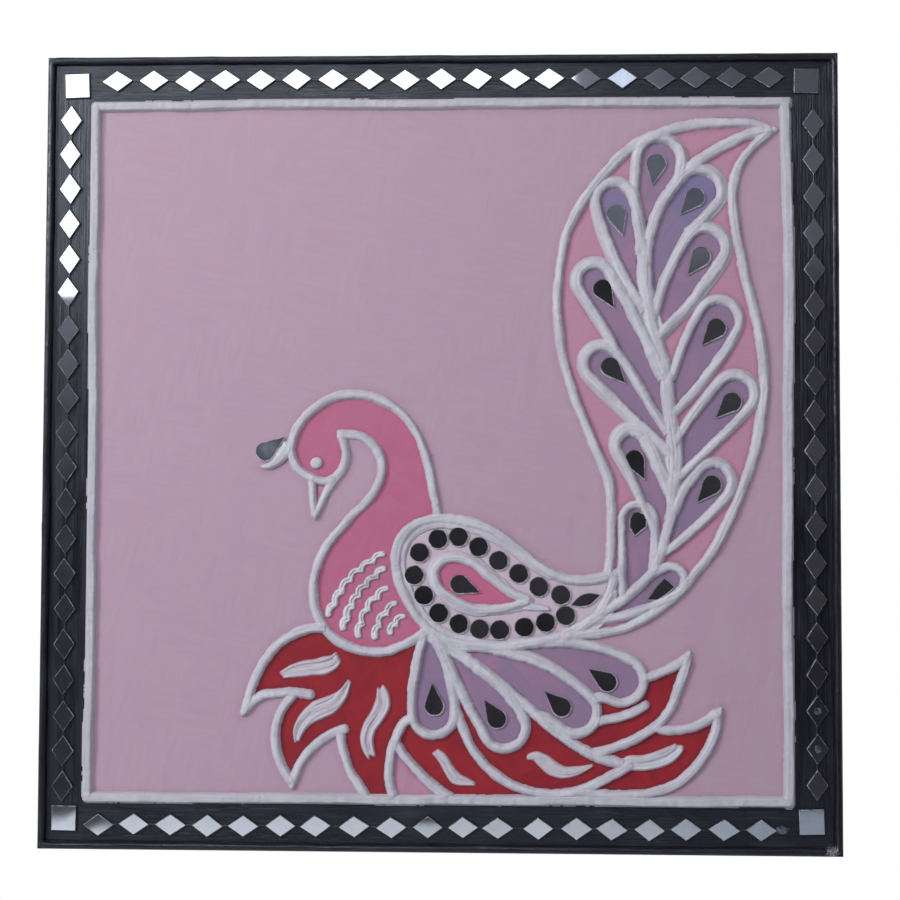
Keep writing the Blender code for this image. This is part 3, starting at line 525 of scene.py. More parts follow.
def roll(body, path, width, height, seed, free="", closed=False, waver=1.0, slot=0):
    """Adds a hand-rolled coil pressed on the board; width may vary along it."""
    rng = np.random.default_rng(seed)
    widths = np.broadcast_to(np.asarray(width, float), len(path))
    marks = lengths_along(path)
    total = marks[-1]
    path = resample(path, ROLL_STEP, closed)
    count = len(path)
    places = np.arange(count) * (total / max(count - 1, 1))
    widths = np.interp(places, marks, widths)
    side = sideways(path, closed)
    path = path + side * (drift(rng, places, 0.011, 0.00012 * waver))[:, None]
    widths = widths * (1 + drift(rng, places, 0.009, 0.035 * waver)
                       + drift(rng, places, 0.0028, 0.018 * waver))
    heights = height * (0.95 + drift(rng, places, 0.012, 0.03 * waver)
                        + drift(rng, places, 0.003, 0.02 * waver))
    lean = drift(rng, places, 0.014, 0.05 * waver)
    for end, distance in (("start", places), ("end", total - places)):
        if closed:
            continue
        reach = widths.max() / 2
        near = np.clip(distance / reach, 0, 1)
        if end in free:
            rounding = np.sqrt(np.clip(1 - (1 - near)**2, 0.02, 1))
            widths = widths * rounding
            heights = heights * rounding**0.7
        else:
            dive = np.clip(distance / 0.0035, 0, 1)
            heights = heights * (0.72 + 0.28 * dive * dive * (3 - 2 * dive))
    shares = np.array(ROLL_PROFILE)
    around = len(shares)
    verts, grain, rise = [], [], []
    for j, (across, up) in enumerate(shares):
        spot = path + side * (widths * (across + lean * up * (1 - abs(across) * 2)))[:, None]
        level = heights * up
        rows = []
        for k in range(count):
            lump = noise.noise(Vector((spot[k, 0], level[k], spot[k, 1])) * 330)
            fine = noise.noise(Vector((spot[k, 0], level[k] + seed, spot[k, 1])) * 1100)
            depth = FOOT_Y if up == 0 else SEAT - level[k] * (1 + 0.035 * waver * lump) - 0.00002 * fine
            spot_x = min(max(spot[k, 0], cad_box[0].x), cad_box[1].x)
            spot_z = min(max(spot[k, 1], cad_box[0].z), cad_box[1].z)
            rows.append((spot_x, max(depth, cad_box[0].y), spot_z))
        verts.append(rows)
        grain.append([(row[0], row[2], noise.noise(Vector((place * 90, across * 7, seed))))
                      for place, row in zip(places, rows)])
        rise.append([up] * count)
    order = [(j, k) for k in range(count) for j in range(around)]
    faces = []
    for k in range(count if closed else count - 1):
        for j in range(around):
            a, b = k * around + j, k * around + (j + 1) % around
            c, d = (k + 1) % count * around + (j + 1) % around, (k + 1) % count * around + j
            faces.append((a, d, c, b))
    if not closed:
        faces.append(tuple(range(around)))
        faces.append(tuple(range(count * around - 1, (count - 1) * around - 1, -1)))
    body.add([verts[j][k] for j, k in order], faces, slot, [grain[j][k] for j, k in order],
             [rise[j][k] for j, k in order])


class Finish:
    """A Principled material with short calls for its nodes."""

    def __init__(self, name, roughness, metallic=0.0):
        self.made = bpy.data.materials.new(name)
        self.made.use_nodes = True
        self.tree = self.made.node_tree
        self.shader = self.tree.nodes["Principled BSDF"]
        self.shader.inputs["Roughness"].default_value = roughness
        self.shader.inputs["Metallic"].default_value = metallic

    def feed(self, socket, value):
        if isinstance(value, bpy.types.NodeSocket):
            self.tree.links.new(value, socket)
        elif isinstance(value, tuple) and socket.type == "RGBA":
            socket.default_value = (*value, 1.0)
        else:
            socket.default_value = value

    def node(self, kind, inputs, output=0, **settings):
        made = self.tree.nodes.new("ShaderNode" + kind)
        for key, value in settings.items():
            setattr(made, key, value)
        for key, value in inputs.items():
            self.feed(made.inputs[key], value)
        return made.outputs[output]

    def place(self):
        return self.node("TexCoord", {}, "Object")

    def mark(self, name, output="Fac"):
        return self.node("Attribute", {}, output, attribute_name=name)

    def streaks(self, turn, length, width, detail=3.0, source=None):
        """Noise drawn out along a direction in the picture, in degrees."""
        spot = self.node("Mapping", {
            "Vector": source or self.place(),
            "Rotation": (0.0, -math.radians(turn), 0.0),
            "Scale": (length, width, width),
        }, vector_type="TEXTURE")
        return self.node("TexNoise", {"Vector": spot, "Scale": 1.0, "Detail": detail, "Roughness": 0.6})

    def speckle(self, size, detail=2.0):
        return self.node("TexNoise", {"Vector": self.place(), "Scale": 1 / size, "Detail": detail})

    def spread(self, value, low, high, out_low=0.0, out_high=1.0):
        return self.node("MapRange", {
            "Value": value, "From Min": low, "From Max": high, "To Min": out_low, "To Max": out_high,
        }, interpolation_type="SMOOTHSTEP")

    def mix(self, share, first, second, blend="MIX"):
        return self.node("MixRGB", {"Fac": share, "Color1": first, "Color2": second}, blend_type=blend)

    def sum(self, first, second, operation="ADD"):
        made = self.tree.nodes.new("ShaderNodeMath")
        made.operation = operation
        self.feed(made.inputs[0], first)
        self.feed(made.inputs[1], second)
        return made.outputs[0]

    def relief(self, height, strength, distance):
        bump = self.node("Bump", {"Height": height, "Strength": strength, "Distance": distance})
        self.feed(self.shader.inputs["Normal"], bump)

    def colour(self, value):
        self.feed(self.shader.inputs["Base Color"], value)


def painted(name, base, streak, halo, turn, halo_reach=0.004, streak_share=0.5, head=None):
    """Acrylic paint laid with a brush: blotches and streaks, stronger colour beside the coils, and a painted
    shade line along the coils' feet.
    """
    finish = Finish(name, 0.5)
    finish.shader.inputs["Specular IOR Level"].default_value = 0.35
    sway = finish.speckle(0.035, 2.0)
    broad = finish.mix(finish.spread(sway, 0.44, 0.56), finish.streaks(turn, 0.030, 0.008, 3.0),
                       finish.streaks(turn + 90, 0.026, 0.007, 3.0))
    fine = finish.mix(finish.spread(sway, 0.46, 0.54), finish.streaks(turn, 0.014, 0.0016, 4.0),
                      finish.streaks(turn + 90, 0.012, 0.0016, 4.0))
    cloud = finish.speckle(0.018, 4.0)
    tone = finish.mix(finish.spread(broad, 0.40, 0.66, 0.0, streak_share), base, streak)
    tone = finish.mix(finish.spread(cloud, 0.42, 0.66, 0.0, 0.4), tone, streak)
    if head:
        reach = finish.sum(finish.mark("reach"), finish.sum(broad, 0.5, "MULTIPLY"))
        tone = finish.mix(finish.spread(reach, 0.75, 1.25, 0.0, 0.75), tone, head)
    shade = finish.spread(fine, 0.3, 0.7, 0.974, 1.02)
    edge = finish.sum(finish.mark("edge"), finish.sum(finish.speckle(0.007), 0.0030, "MULTIPLY"))
    ring = finish.spread(edge, 0.0012, halo_reach + 0.0015, 0.85, 0.0)
    tone = finish.mix(ring, tone, halo)
    # A dark line right at the coils' feet: painted shade where the coils meet the board.
    foot = finish.spread(finish.mark("edge"), -0.0002, 0.0005, 0.75, 0.0)
    tone = finish.mix(foot, tone, tuple(part * 0.3 for part in halo))
    tone = finish.mix(1.0, tone, finish.node("CombineColor", {"Red": shade, "Green": shade, "Blue": shade}),
                      "MULTIPLY")
    finish.colour(tone)
    finish.relief(finish.sum(fine, finish.sum(broad, 1.2, "MULTIPLY")), 0.22, 0.0004)
    return finish.made


def clay_finish(name, base, shade, low):
    """Clay under matt paint, smeared along the coil, its low parts in the low colour: a tint of the ground's
    paint at the foot of the figure's clay, and painted shade on the border strips.
    """
    finish = Finish(name, 0.66)
    finish.shader.inputs["Specular IOR Level"].default_value = 0.32
    streak = finish.node("SeparateXYZ", {"Vector": finish.mark("grain", "Vector")}, "Z")
    lumps = finish.speckle(0.0030, 4.0)
    pits = finish.speckle(0.0008, 2.0)
    wash = finish.speckle(0.014, 3.0)
    tone = finish.mix(finish.spread(finish.sum(streak, lumps), 0.15, 1.2, 0.0, 0.5), base, shade)
    tone = finish.mix(finish.spread(wash, 0.45, 0.7, 0.0, 0.4), tone, shade)
    rise = finish.sum(finish.mark("rise"), finish.sum(finish.sum(wash, -0.5), 0.6, "MULTIPLY"))
    # Low parts take the low colour: a tint of the ground's paint on the figure's clay, painted shade on the
    # border strips.
    tone = finish.mix(finish.spread(rise, 0.10, 0.50, 0.85, 0.0), tone, low)
    tone = finish.mix(finish.spread(pits, 0.70, 0.78, 0.0, 0.4), tone, shade)
    finish.colour(tone)
    dents = finish.sum(lumps, finish.sum(pits, 0.5, "MULTIPLY"))
    finish.relief(finish.sum(finish.sum(streak, 0.22, "MULTIPLY"), dents), 0.5, 0.0005)
    return finish.made


def black_finish(name, base):
    """Black paint over board or clay, brushed along each side, with worn grey streaks."""
    finish = Finish(name, 0.40)
    place = finish.node("SeparateXYZ", {"Vector": finish.place()}, "X").node
    aside = finish.sum(finish.sum(place.outputs["X"], 0.0, "ABSOLUTE"),
                       finish.sum(place.outputs["Z"], 0.0, "ABSOLUTE"), "GREATER_THAN")
    brush = finish.mix(aside, finish.streaks(0, 0.030, 0.0011, 4.0), finish.streaks(90, 0.030, 0.0011, 4.0))
    wide = finish.mix(aside, finish.streaks(0, 0.060, 0.0040, 3.0), finish.streaks(90, 0.060, 0.0040, 3.0))
    cloud = finish.speckle(0.02, 3.0)
    worn = finish.spread(finish.sum(brush, finish.sum(cloud, 0.6, "MULTIPLY")), 0.80, 1.05, 0.0, 0.5)
    tone = finish.mix(worn, base, (0.038, 0.041, 0.055))
    near = finish.node("VectorMath", {0: finish.place(), 1: WORN_SPOT}, "Value", operation="DISTANCE")
    scuff = finish.sum(finish.spread(near, 0.001, 0.006, 0.30, 0.0), finish.speckle(0.0007, 3.0))
    finish.colour(finish.mix(finish.spread(scuff, 0.70, 0.80, 0.0, 0.8), tone, (0.34, 0.33, 0.35)))
    finish.feed(finish.shader.inputs["Roughness"], finish.spread(wide, 0.35, 0.65, 0.24, 0.42))
    finish.shader.inputs["Specular IOR Level"].default_value = 0.62
    finish.shader.inputs["Specular Tint"].default_value = (0.80, 0.86, 1.0, 1.0)
    finish.relief(finish.sum(brush, finish.sum(wide, 0.8, "MULTIPLY")), 0.7, 0.0005)
    return finish


def board_finish():
    """The board: black paint on its front and edges, bare fibreboard at its back."""
    finish = black_finish("board_paint", BLACK)
    front_tone = finish.shader.inputs["Base Color"].links[0].from_socket
    fibre = finish.speckle(0.0016, 6.0)
    patch = finish.speckle(0.05, 3.0)
    brown = finish.mix(finish.spread(fibre, 0.35, 0.7), FIBREBOARD, (0.33, 0.21, 0.12))
    brown = finish.mix(finish.spread(patch, 0.4, 0.7, 0.0, 0.35), brown, (0.17, 0.10, 0.055))
    normal = finish.node("SeparateXYZ", {"Vector": finish.node("NewGeometry", {}, "True Normal")}, "Y")
    back = finish.spread(normal, 0.4, 0.6)
    finish.colour(finish.mix(back, front_tone, brown))
    return finish.made


def mirror_finish():
    """The silvered face of a thin craft mirror, a little cloudy, with specks of dust."""
    finish = Finish("silvered_glass", 0.04, 1.0)
    smear = finish.speckle(0.004, 4.0)
    dust = finish.spread(finish.speckle(0.0007, 2.0), 0.68, 0.76)
    silver = finish.mix(finish.spread(smear, 0.35, 0.7), (0.84, 0.88, 0.93), (0.79, 0.825, 0.875))
    finish.colour(finish.mix(dust, silver, (0.20, 0.20, 0.22)))
    finish.feed(finish.shader.inputs["Roughness"], finish.spread(smear, 0.45, 0.8, 0.035, 0.05))
    haze = finish.spread(smear, 0.4, 0.75, 0.0, 0.02)
    dull = finish.sum(dust, haze, "MAXIMUM")
    finish.feed(finish.shader.inputs["Metallic"], finish.spread(dull, 0, 1, 1.0, 0.55))
    return finish.made


def edge_finish(name, pale, dark):
    """The cut edge of the glass, chipped here and there, with painted glints among the chips."""
    finish = Finish(name, 0.35)
    chips = finish.sum(finish.speckle(0.0011, 3.0), finish.sum(finish.speckle(0.006, 2.0), 0.9, "MULTIPLY"))
    tone = finish.mix(finish.spread(chips, 0.85, 1.15), pale, dark)
    # Bright specks where the chips noise is low: painted glints on the edge.
    painted_glint = tuple(part * 1.7 for part in pale)
    finish.colour(finish.mix(finish.spread(chips, 0.62, 0.80, 0.9, 0.0), tone, painted_glint))
    finish.relief(chips, 0.4, 0.0002)
    return finish.made


def glue_finish(name, pale, dark):
    """Dried craft glue, satin and uneven along its length."""
    finish = Finish(name, 0.3)
    cloud = finish.speckle(0.0016, 3.0)
    finish.colour(finish.mix(finish.spread(cloud, 0.38, 0.66), pale, dark))
    finish.relief(cloud, 0.5, 0.0003)
    return finish.made


def inside(outline, points):
    """Which points lie inside a closed outline."""
    hit = np.zeros(len(points), bool)
    for (x0, z0), (x1, z1) in zip(outline, np.roll(outline, -1, axis=0)):
        crosses = (z0 > points[:, 1]) != (z1 > points[:, 1])
        if z1 != z0:
            hit ^= crosses & (points[:, 0] < (x1 - x0) * (points[:, 1] - z0) / (z1 - z0) + x0)
    return hit


def paint_area(name, outline, layer, step, finish, coils, axis=None):
    """A thin layer of paint inside an outline, marked with its distance from the coils."""
    low, high = outline.min(axis=0), outline.max(axis=0)
    columns = np.arange(low[0], high[0] + step, step)
    rows = np.arange(low[1], high[1] + step, step)
    centres = np.stack(np.meshgrid(columns[:-1] + step / 2, rows[:-1] + step / 2), axis=-1)
    kept = inside(outline, centres.reshape(-1, 2)).reshape(centres.shape[:2])
    index = -np.ones((len(rows), len(columns)), int)
    faces = []
    verts = []

    def corner(row, column):
        if index[row, column] < 0:
            index[row, column] = len(verts)
            verts.append((columns[column], FRONT - layer, rows[row]))
        return int(index[row, column])

    for row, column in zip(*np.nonzero(kept)):
        faces.append((corner(row, column), corner(row, column + 1), corner(row + 1, column + 1),
                      corner(row + 1, column)))
    mesh = bpy.data.meshes.new(name)
    mesh.from_pydata(verts, [], faces)
    mesh.materials.append(finish)
    edge = mesh.attributes.new("edge", "FLOAT", "POINT")
    tree, halves = coils
    nearest = [tree.find((x, 0.0, z)) for x, _, z in verts]
    edge.data.foreach_set("value", [distance - halves[number] for _, number, distance in nearest])
    if axis is not None:
        spots = np.array([(x, z) for x, _, z in verts])
        along = (spots - axis[0]) @ axis[1]
        reach = mesh.attributes.new("reach", "FLOAT", "POINT")
        reach.data.foreach_set("value", along / np.ptp(along) + 1)
    made = linked(name, mesh)
    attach(made, "root")


def relief_strokes():
    """The joined coils of the figure: middle line, widths, outward spread and the ends that show."""
    lines = [
        ("", NECK_BACK, (4.2, 4.0, 4.6, 4.2, 4.2)), ("end", BEAK_FRONT, (4.0, 3.7, 3.2)),
        ("start", BEAK_BACK, (1.2, 4.2, 4.0, 4.2, 4.2, 4.4)), ("", BROW_BAR, (4.2, 3.8, 4.2)),
        ("", BREAST, (4.4, 4.2, 4.0, 4.2, 4.4, 4.2, 4.4)),
        ("start", TAIL_LEFT_EDGE, (4.4, 5.6, 4.6, 4.0, 4.4, 4.6, 4.4)),
        ("start", TAIL_RIGHT_EDGE, (4.2, 4.8, 4.8, 5.2, 4.9, 4.6, 4.6)),
        ("", TAIL_VEIN, (4.6, 6.2, 5.4, 5.6)),
        ("", TAIL_STEM, (5.6, 6.2, 6.6, 6.6, 5.0, 5.0, 4.8)), ("", TAIL_ROOT, (4.6, 5.0)),
        ("", PETAL_DIVIDER, (6.0, 6.0, 4.8, 4.6, 4.8)), ("end", PETAL_TWIG, (4.4, 4.2)),
    ]
    lines.extend((free, points, (4.5, 4.4, 4.6)) for free, points in LEAF_EDGES)
    strokes = [(stroke(points), widths, [0], free) for free, points, widths in lines]
    strokes.append((stroke(WING_OUTLINE), [4.8], [0.3], ""))
    strokes.append((stroke(CREST_COIL), [5.4, 6.8, 6.4, 4.6, 3.4, 1.8], [0], "end"))
    for x, z, turn in LEAF_TIPS:
        away, _ = heading(turn)
        tip = np.array((x, z))
        line = np.linspace((tip - away * 2.4) * UNIT, (tip + away * 2.7) * UNIT, 12)
        strokes.append((line, [3.8, 4.0, 1.4], [0], "end"))
    for loops, widths, spreads in ((FEATHER_LOOPS, FEATHER_WIDTHS, FEATHER_SPREADS),
                                   (PETAL_LOOPS, PETAL_WIDTHS, PETAL_SPREADS)):
        strokes.extend((loop(*place), wide, spread, "") for place, wide, spread in zip(loops, widths, spreads))
    return strokes


def coil_tree(strokes):
    """All coils' middle lines and half widths, for the distance to the nearest coil."""
    half = PICTURE_SIDE / 2
    square = np.array([(-half, -half), (half, -half), (half, half), (-half, half)])
    lines = [(path, widths, False) for path, widths, _, _ in strokes]
    lines += [(stroke(WING_HEART, True), [4.4], True), (square, [4.8], True)]
    places, halves = [], []
    for path, widths, closed in lines:
        points = resample(path, MARK_STEP, closed)
        wide = np.interp(np.linspace(0, 1, len(points)), np.linspace(0, 1, len(widths)), widths) * UNIT / 2
        first = 0 if closed else round(wide[0] / MARK_STEP)
        last = len(points) if closed else len(points) - round(wide[-1] / MARK_STEP)
        places.extend(points[first:last])
        halves.extend(wide[first:last])
    tree = kdtree.KDTree(len(places))
    for number, (x, z) in enumerate(places):
        tree.insert((x, 0.0, z), number)
    tree.balance()
    return tree, halves


def value_noise(rng, along, across):
    """Smooth seeded noise from -1 to 1 at places given in steps of its own grid."""
    low_a, low_b = along.min(), across.min()
    a, b = along - low_a, across - low_b
    table = rng.uniform(-1, 1, (int(a.max()) + 2, int(b.max()) + 2))
    i, j = a.astype(int), b.astype(int)
    s, t = a - i, b - j
    s, t = s * s * (3 - 2 * s), t * t * (3 - 2 * t)
    return ((table[i, j] * (1 - s) + table[i + 1, j] * s) * (1 - t)
            + (table[i, j + 1] * (1 - s) + table[i + 1, j + 1] * s) * t)


def step_up(share):
    """Rises smoothly from 0 to 1."""
    share = np.clip(share, 0, 1)
    return share * share * (3 - 2 * share)


class Field:
    """Clay pressed on the board: its heights over a patch of the picture, on a fine grid."""

    def __init__(self, low, high):
        self.low = np.floor(np.array(low) / (2 * RASTER)) * 2 * RASTER
        self.shape = tuple(int(size) for size in np.ceil((np.array(high) - self.low) / RASTER) + 1)
        self.total = np.zeros(self.shape)
        self.best = np.zeros(self.shape)
        self.streak = np.zeros(self.shape)

    def press(self, spots, heights, streaks):
        cells = np.rint((spots.reshape(-1, 2) - self.low) / RASTER).astype(int)
        held = np.all((cells >= 0) & (cells < self.shape), axis=1) & (heights.ravel() > 0)
        cells, heights, streaks = cells[held], heights.ravel()[held], streaks.ravel()[held]
        low = cells.min(axis=0)
        size = cells.max(axis=0) - low + 1
        flat = (cells[:, 0] - low[0]) * size[1] + cells[:, 1] - low[1]
        order = np.argsort(heights)
        layer, marks = np.zeros(size[0] * size[1]), np.zeros(size[0] * size[1])
        layer[flat[order]] = heights[order]
        marks[flat[order]] = streaks[order]
        layer, marks = layer.reshape(size), marks.reshape(size)
        window = (slice(low[0], low[0] + size[0]), slice(low[1], low[1] + size[1]))
        self.total[window] += layer**BLEND_POWER
        above = layer > self.best[window]
        self.best[window][above] = layer[above]
        self.streak[window][above] = marks[above]

    def cut(self, spots, depths):
        cells = np.rint((spots.reshape(-1, 2) - self.low) / RASTER).astype(int)
        held = np.all((cells >= 0) & (cells < self.shape), axis=1)
        cells, depths = cells[held], depths.ravel()[held]
        gouge = np.zeros(self.shape)
        order = np.argsort(depths)
        gouge[cells[order, 0], cells[order, 1]] = depths[order]
        heights = self.total**(1 / BLEND_POWER)
        self.total = np.clip(heights - np.where(heights > 0, gouge, 0), 0, None)**BLEND_POWER

    def heights(self):
        """The clay's heights, with joints softened and small lumps on it."""
        made = self.total**(1 / BLEND_POWER)
        reach = int(3 * SOFTENING / RASTER)
        weights = np.exp(-0.5 * (np.arange(-reach, reach + 1) * RASTER / SOFTENING)**2)
        weights /= weights.sum()
        for axis in (0, 1):
            made = sum(weight * np.roll(made, offset, axis)
                       for weight, offset in zip(weights, range(-reach, reach + 1)))
        rng = np.random.default_rng(5)
        rows, columns = np.meshgrid(np.arange(self.shape[0]), np.arange(self.shape[1]), indexing="ij")
        for size, amount in ((0.0045, 0.00016), (0.0017, 0.00008)):
            lumps = value_noise(rng, rows * RASTER / size, columns * RASTER / size)
            made = made + lumps * amount * step_up(made / 0.0012)
        return np.clip(made, 0, FRONT - cad_box[0].y)

    def piece(self, name, finishes, every=2):
        """The clay's surface as a mesh that dips under the paint at its foot."""
        full = self.heights()
        slope_x, slope_z = np.gradient(full, RASTER)
        heights, streaks = full[::every, ::every], self.streak[::every, ::every]
        covered = heights > FOOT_CUT
        near = covered[:-1, :-1] | covered[1:, :-1] | covered[:-1, 1:] | covered[1:, 1:]
        columns, rows = np.nonzero(near)
        corners = np.stack([(columns + i) * heights.shape[1] + rows + j
                            for i, j in ((0, 0), (1, 0), (1, 1), (0, 1))], axis=1)
        used, faces = np.unique(corners, return_inverse=True)
        faces = faces.reshape(corners.shape)
        i, j = used // heights.shape[1], used % heights.shape[1]
        verts = np.stack([self.low[0] + i * every * RASTER, FRONT - heights[i, j],
                          self.low[1] + j * every * RASTER], axis=1)
        normals = np.stack([-slope_x[::every, ::every][i, j], -np.ones(len(used)),
                            -slope_z[::every, ::every][i, j]], axis=1)
        normals /= np.linalg.norm(normals, axis=1)[:, None]
        body = Body()
        body.add(verts.tolist(), faces.tolist(), rise=(heights[i, j] / COIL_HEIGHT).tolist(),
                 grain=[(x, z, mark) for x, z, mark in zip(verts[:, 0], verts[:, 2], streaks[i, j])])
        made = body.piece(name, finishes)
        made.data.normals_split_custom_set_from_vertices(normals.tolist())
        return made


def press_coil(field, path, widths, height, seed, free="", closed=False, spreads=(0,), squareness=2.7,
               unevenness=1.0):
    """Presses a coil along a line; widths are in grid units, spread evenly along it."""
    rng = np.random.default_rng(seed)
    path = resample(path, PRESS_STEP, closed)
    count = len(path)
    places = np.arange(count) * PRESS_STEP
    total = places[-1]
    share = places / total
    side = sideways(path, closed)
    path = path + side * drift(rng, places, 0.012, 0.00014)[:, None]
    wide = np.interp(share, np.linspace(0, 1, len(widths)), widths) * UNIT
    wide = wide * (1 + unevenness * drift(rng, places, 0.010, 0.04))
    banks = [1 + unevenness * (drift(rng, places, 0.007, 0.05) + drift(rng, places, 0.0026, 0.045)
                               + drift(rng, places, 0.0011, 0.03)) for _ in range(2)]
    high = height * (1 + drift(rng, places, 0.012, 0.07) + drift(rng, places, 0.0035, 0.04)
                     + drift(rng, places, 0.0014, 0.014))
    spread = np.interp(share, np.linspace(0, 1, len(spreads)), spreads) * SHOULDER_WIDTH
    lean = drift(rng, places, 0.016, 0.16)
    for end, distance in (("start", places), ("end", total - places)):
        if closed:
            continue
        if end in free:
            near = np.clip(distance / (wide.max() / 2), 0, 1)
            rounding = np.sqrt(np.clip(1 - (1 - near)**2, 0, 1))
            wide = wide * (0.25 + 0.75 * rounding)
            high = high * rounding
        else:
            high = high * (0.8 + 0.2 * step_up(distance / 0.003))
    reach = wide.max() / 2 + spread.max() + 0.0004
    across = np.arange(-reach, reach, PRESS_STEP)
    a, w = across[None, :], wide[:, None]
    s = np.clip(2 * a / w / np.where(a > 0, banks[0][:, None], banks[1][:, None]), -1, 1)
    s = s + lean[:, None] * (1 - s * s)
    dome = np.clip(1 - np.abs(s)**squareness, 0, 1)**0.5
    streaks = value_noise(rng, places[:, None] / 0.011 + 0 * a, a / 0.0006 + 0 * w)
    heights = high[:, None] * dome * (1 + 0.05 * unevenness * streaks)
    if spread.max() > 0:
        fall = 1 - (a - 0.30 * w) / np.maximum(0.2 * w + spread[:, None], 1e-5)
        shelf = SHOULDER_HEIGHT * step_up(fall * 1.6) * (spread[:, None] > 0.0001) * (a > 0)
        heights = np.maximum(heights, shelf * (1 + 0.25 * streaks))
    spots = path[:, None, :] + side[:, None, :] * across[None, :, None]
    field.press(spots, heights, streaks)


def press_dab(field, points, height, seed):
    """Presses a broad tapered dab with ridges along it and ragged ends."""
    rng = np.random.default_rng(seed)
    middle = stroke(points)
    marks = lengths_along(middle)
    widths = np.interp(np.linspace(0, len(points) - 1, len(middle)), range(len(points)),
                       [point[2] * UNIT for point in points])
    path = resample(middle, PRESS_STEP)
    count = len(path)
    places = np.linspace(0, marks[-1], count)
    wide = np.interp(places, marks, widths) * 1.08 * (1 + drift(rng, places, 0.006, 0.05))
    side = sideways(path)
    reach = wide.max() / 2 + 0.0003
    across = np.arange(-reach, reach, PRESS_STEP)
    a, w = across[None, :], wide[:, None]
    s = np.clip(2 * a / w, -1.2, 1.2)
    streaks = value_noise(rng, places[:, None] / 0.014 + 0 * a, a / 0.0011 + 0 * w)
    fine = value_noise(rng, places[:, None] / 0.007 + 0 * a, a / 0.0005 + 0 * w)
    bank = np.clip(1 - np.abs(s)**5, 0, 1)**0.6
    edge = np.exp(-((np.abs(s) - 0.78) / 0.16)**2)
    heights = height * bank * (0.66 + 0.28 * edge + 0.22 * streaks + 0.08 * fine)
    prongs = value_noise(rng, across / 0.0019, 0 * across)[None, :]
    for distance in (places, places[-1] - places):
        heights = heights * step_up((distance[:, None] + prongs * 0.0022 - 0.0006) / 0.0014)
    spots = path[:, None, :] + side[:, None, :] * across[None, :, None]
    field.press(spots, heights, streaks)


def outline_field(points, margin=0.008):
    """A field round some points."""
    return Field(points.min(axis=0) - margin, points.max(axis=0) + margin)


def make_relief(strokes, clay):
    """The peacock's joined coils, the joints smeared together."""
    half = PICTURE_SIDE / 2
    field = Field((-half, -half), (half, half))
    for number, (path, widths, spreads, free) in enumerate(strokes):
        press_coil(field, path, widths, COIL_HEIGHT, 100 + number, free, spreads=spreads)
    ledge = between(stroke(WING_OUTLINE), (62, -63), (22, -99))
    inward = np.array((10, -68)) * UNIT - ledge
    inward /= np.linalg.norm(inward, axis=1)[:, None]
    press_coil(field, ledge + inward * 0.0031, [3, 4.2, 4.8, 4.6, 4, 3.4], 0.0013, 90)
    for number, points in enumerate(SMEARS):
        press_dab(field, points, COIL_HEIGHT * 0.8, 92 + number)
    press_dab(field, JOINED_FLAME, COIL_HEIGHT * 0.92, 91)
    piece = field.piece("peacock_coils", [clay])
    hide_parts("peacock_relief")


def make_heart_ring(clay):
    """The ring round the wing's heart, with a low bank outside it."""
    path = stroke(WING_HEART, True)
    field = outline_field(path)
    press_coil(field, path, [4.4], COIL_HEIGHT, 60, closed=True)
    middle = path.mean(axis=0)
    outward = path - middle
    outward /= np.linalg.norm(outward, axis=1)[:, None]
    press_coil(field, path + outward * 0.0020, [4.2], 0.0011, 61, closed=True)
    ring = field.piece("heart_ring", [clay])
    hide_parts("heart_coil")


def make_strips(finish):
    """The breast's wavy strips: chains of small arcs with a spur at each joint and a worn groove."""
    for number, (start, end, bow, waves) in enumerate(SCALLOPS):
        first, last = (np.array(point) * UNIT for point in (start, end))
        along = last - first
        up_left = np.array((-along[1], along[0])) / np.linalg.norm(along)
        forward = along / np.linalg.norm(along)
        share = np.linspace(0, 1, 24 * waves + 1)[:, None]
        wave = np.abs(np.sin(math.pi * waves * share)) * SCALLOP_DEPTH
        path = first + along * share + up_left * (bow * UNIT * np.sin(math.pi * share) + wave)
        field = outline_field(path, 0.005)
        width = SCALLOP_WIDTH / UNIT
        press_coil(field, path, [width * 1.15, width, width * 0.95, width * 0.9], SCALLOP_HEIGHT, 80 + number,
                   "start end")
        for joint in range(1, waves):
            foot = path[24 * joint]
            tip = foot - up_left * SPUR_LENGTH - forward * SPUR_LENGTH * 0.15
            press_coil(field, np.linspace(foot + up_left * 0.0006, tip, 8), [width, width * 0.75, width * 0.5],
                       SCALLOP_HEIGHT * 0.9, 800 + 10 * number + joint, "end")
        rng = np.random.default_rng(840 + number)
        line = resample(path, PRESS_STEP)
        places = np.arange(len(line)) * PRESS_STEP
        line = line + up_left * drift(rng, places, 0.0011, 0.00028)[:, None]
        depth = GROOVE_DEPTH * step_up(0.9 + drift(rng, places, 0.0016, 0.5))
        depth = depth * step_up(places / 0.003 - 0.3) * step_up((places[-1] - places) / 0.003 - 0.3)
        across = np.arange(-GROOVE_WIDTH / 2, GROOVE_WIDTH / 2, PRESS_STEP)
        spots = line[:, None, :] + up_left * across[None, :, None]
        field.cut(spots, depth[:, None] + 0 * across)
        strip = field.piece(f"breast_strip_{number + 1}", [finish], 1)
        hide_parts(f"scallop_{number + 1}")


def make_small_clay(clay, dab_clay, strip_clay):
    """The heart's ring, the eye, the loose dabs and the breast's wavy strips."""
    make_heart_ring(clay)
    for number, points in enumerate(FLAMES):
        field = outline_field(grid(points))
        press_dab(field, points, FLAME_HEIGHT, 70 + number)
        flame = field.piece(f"clay_dab_{number + 1}", [dab_clay], 1)
        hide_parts(f"flame_{number + 1}")
    make_strips(strip_clay)
    make_eye(clay)


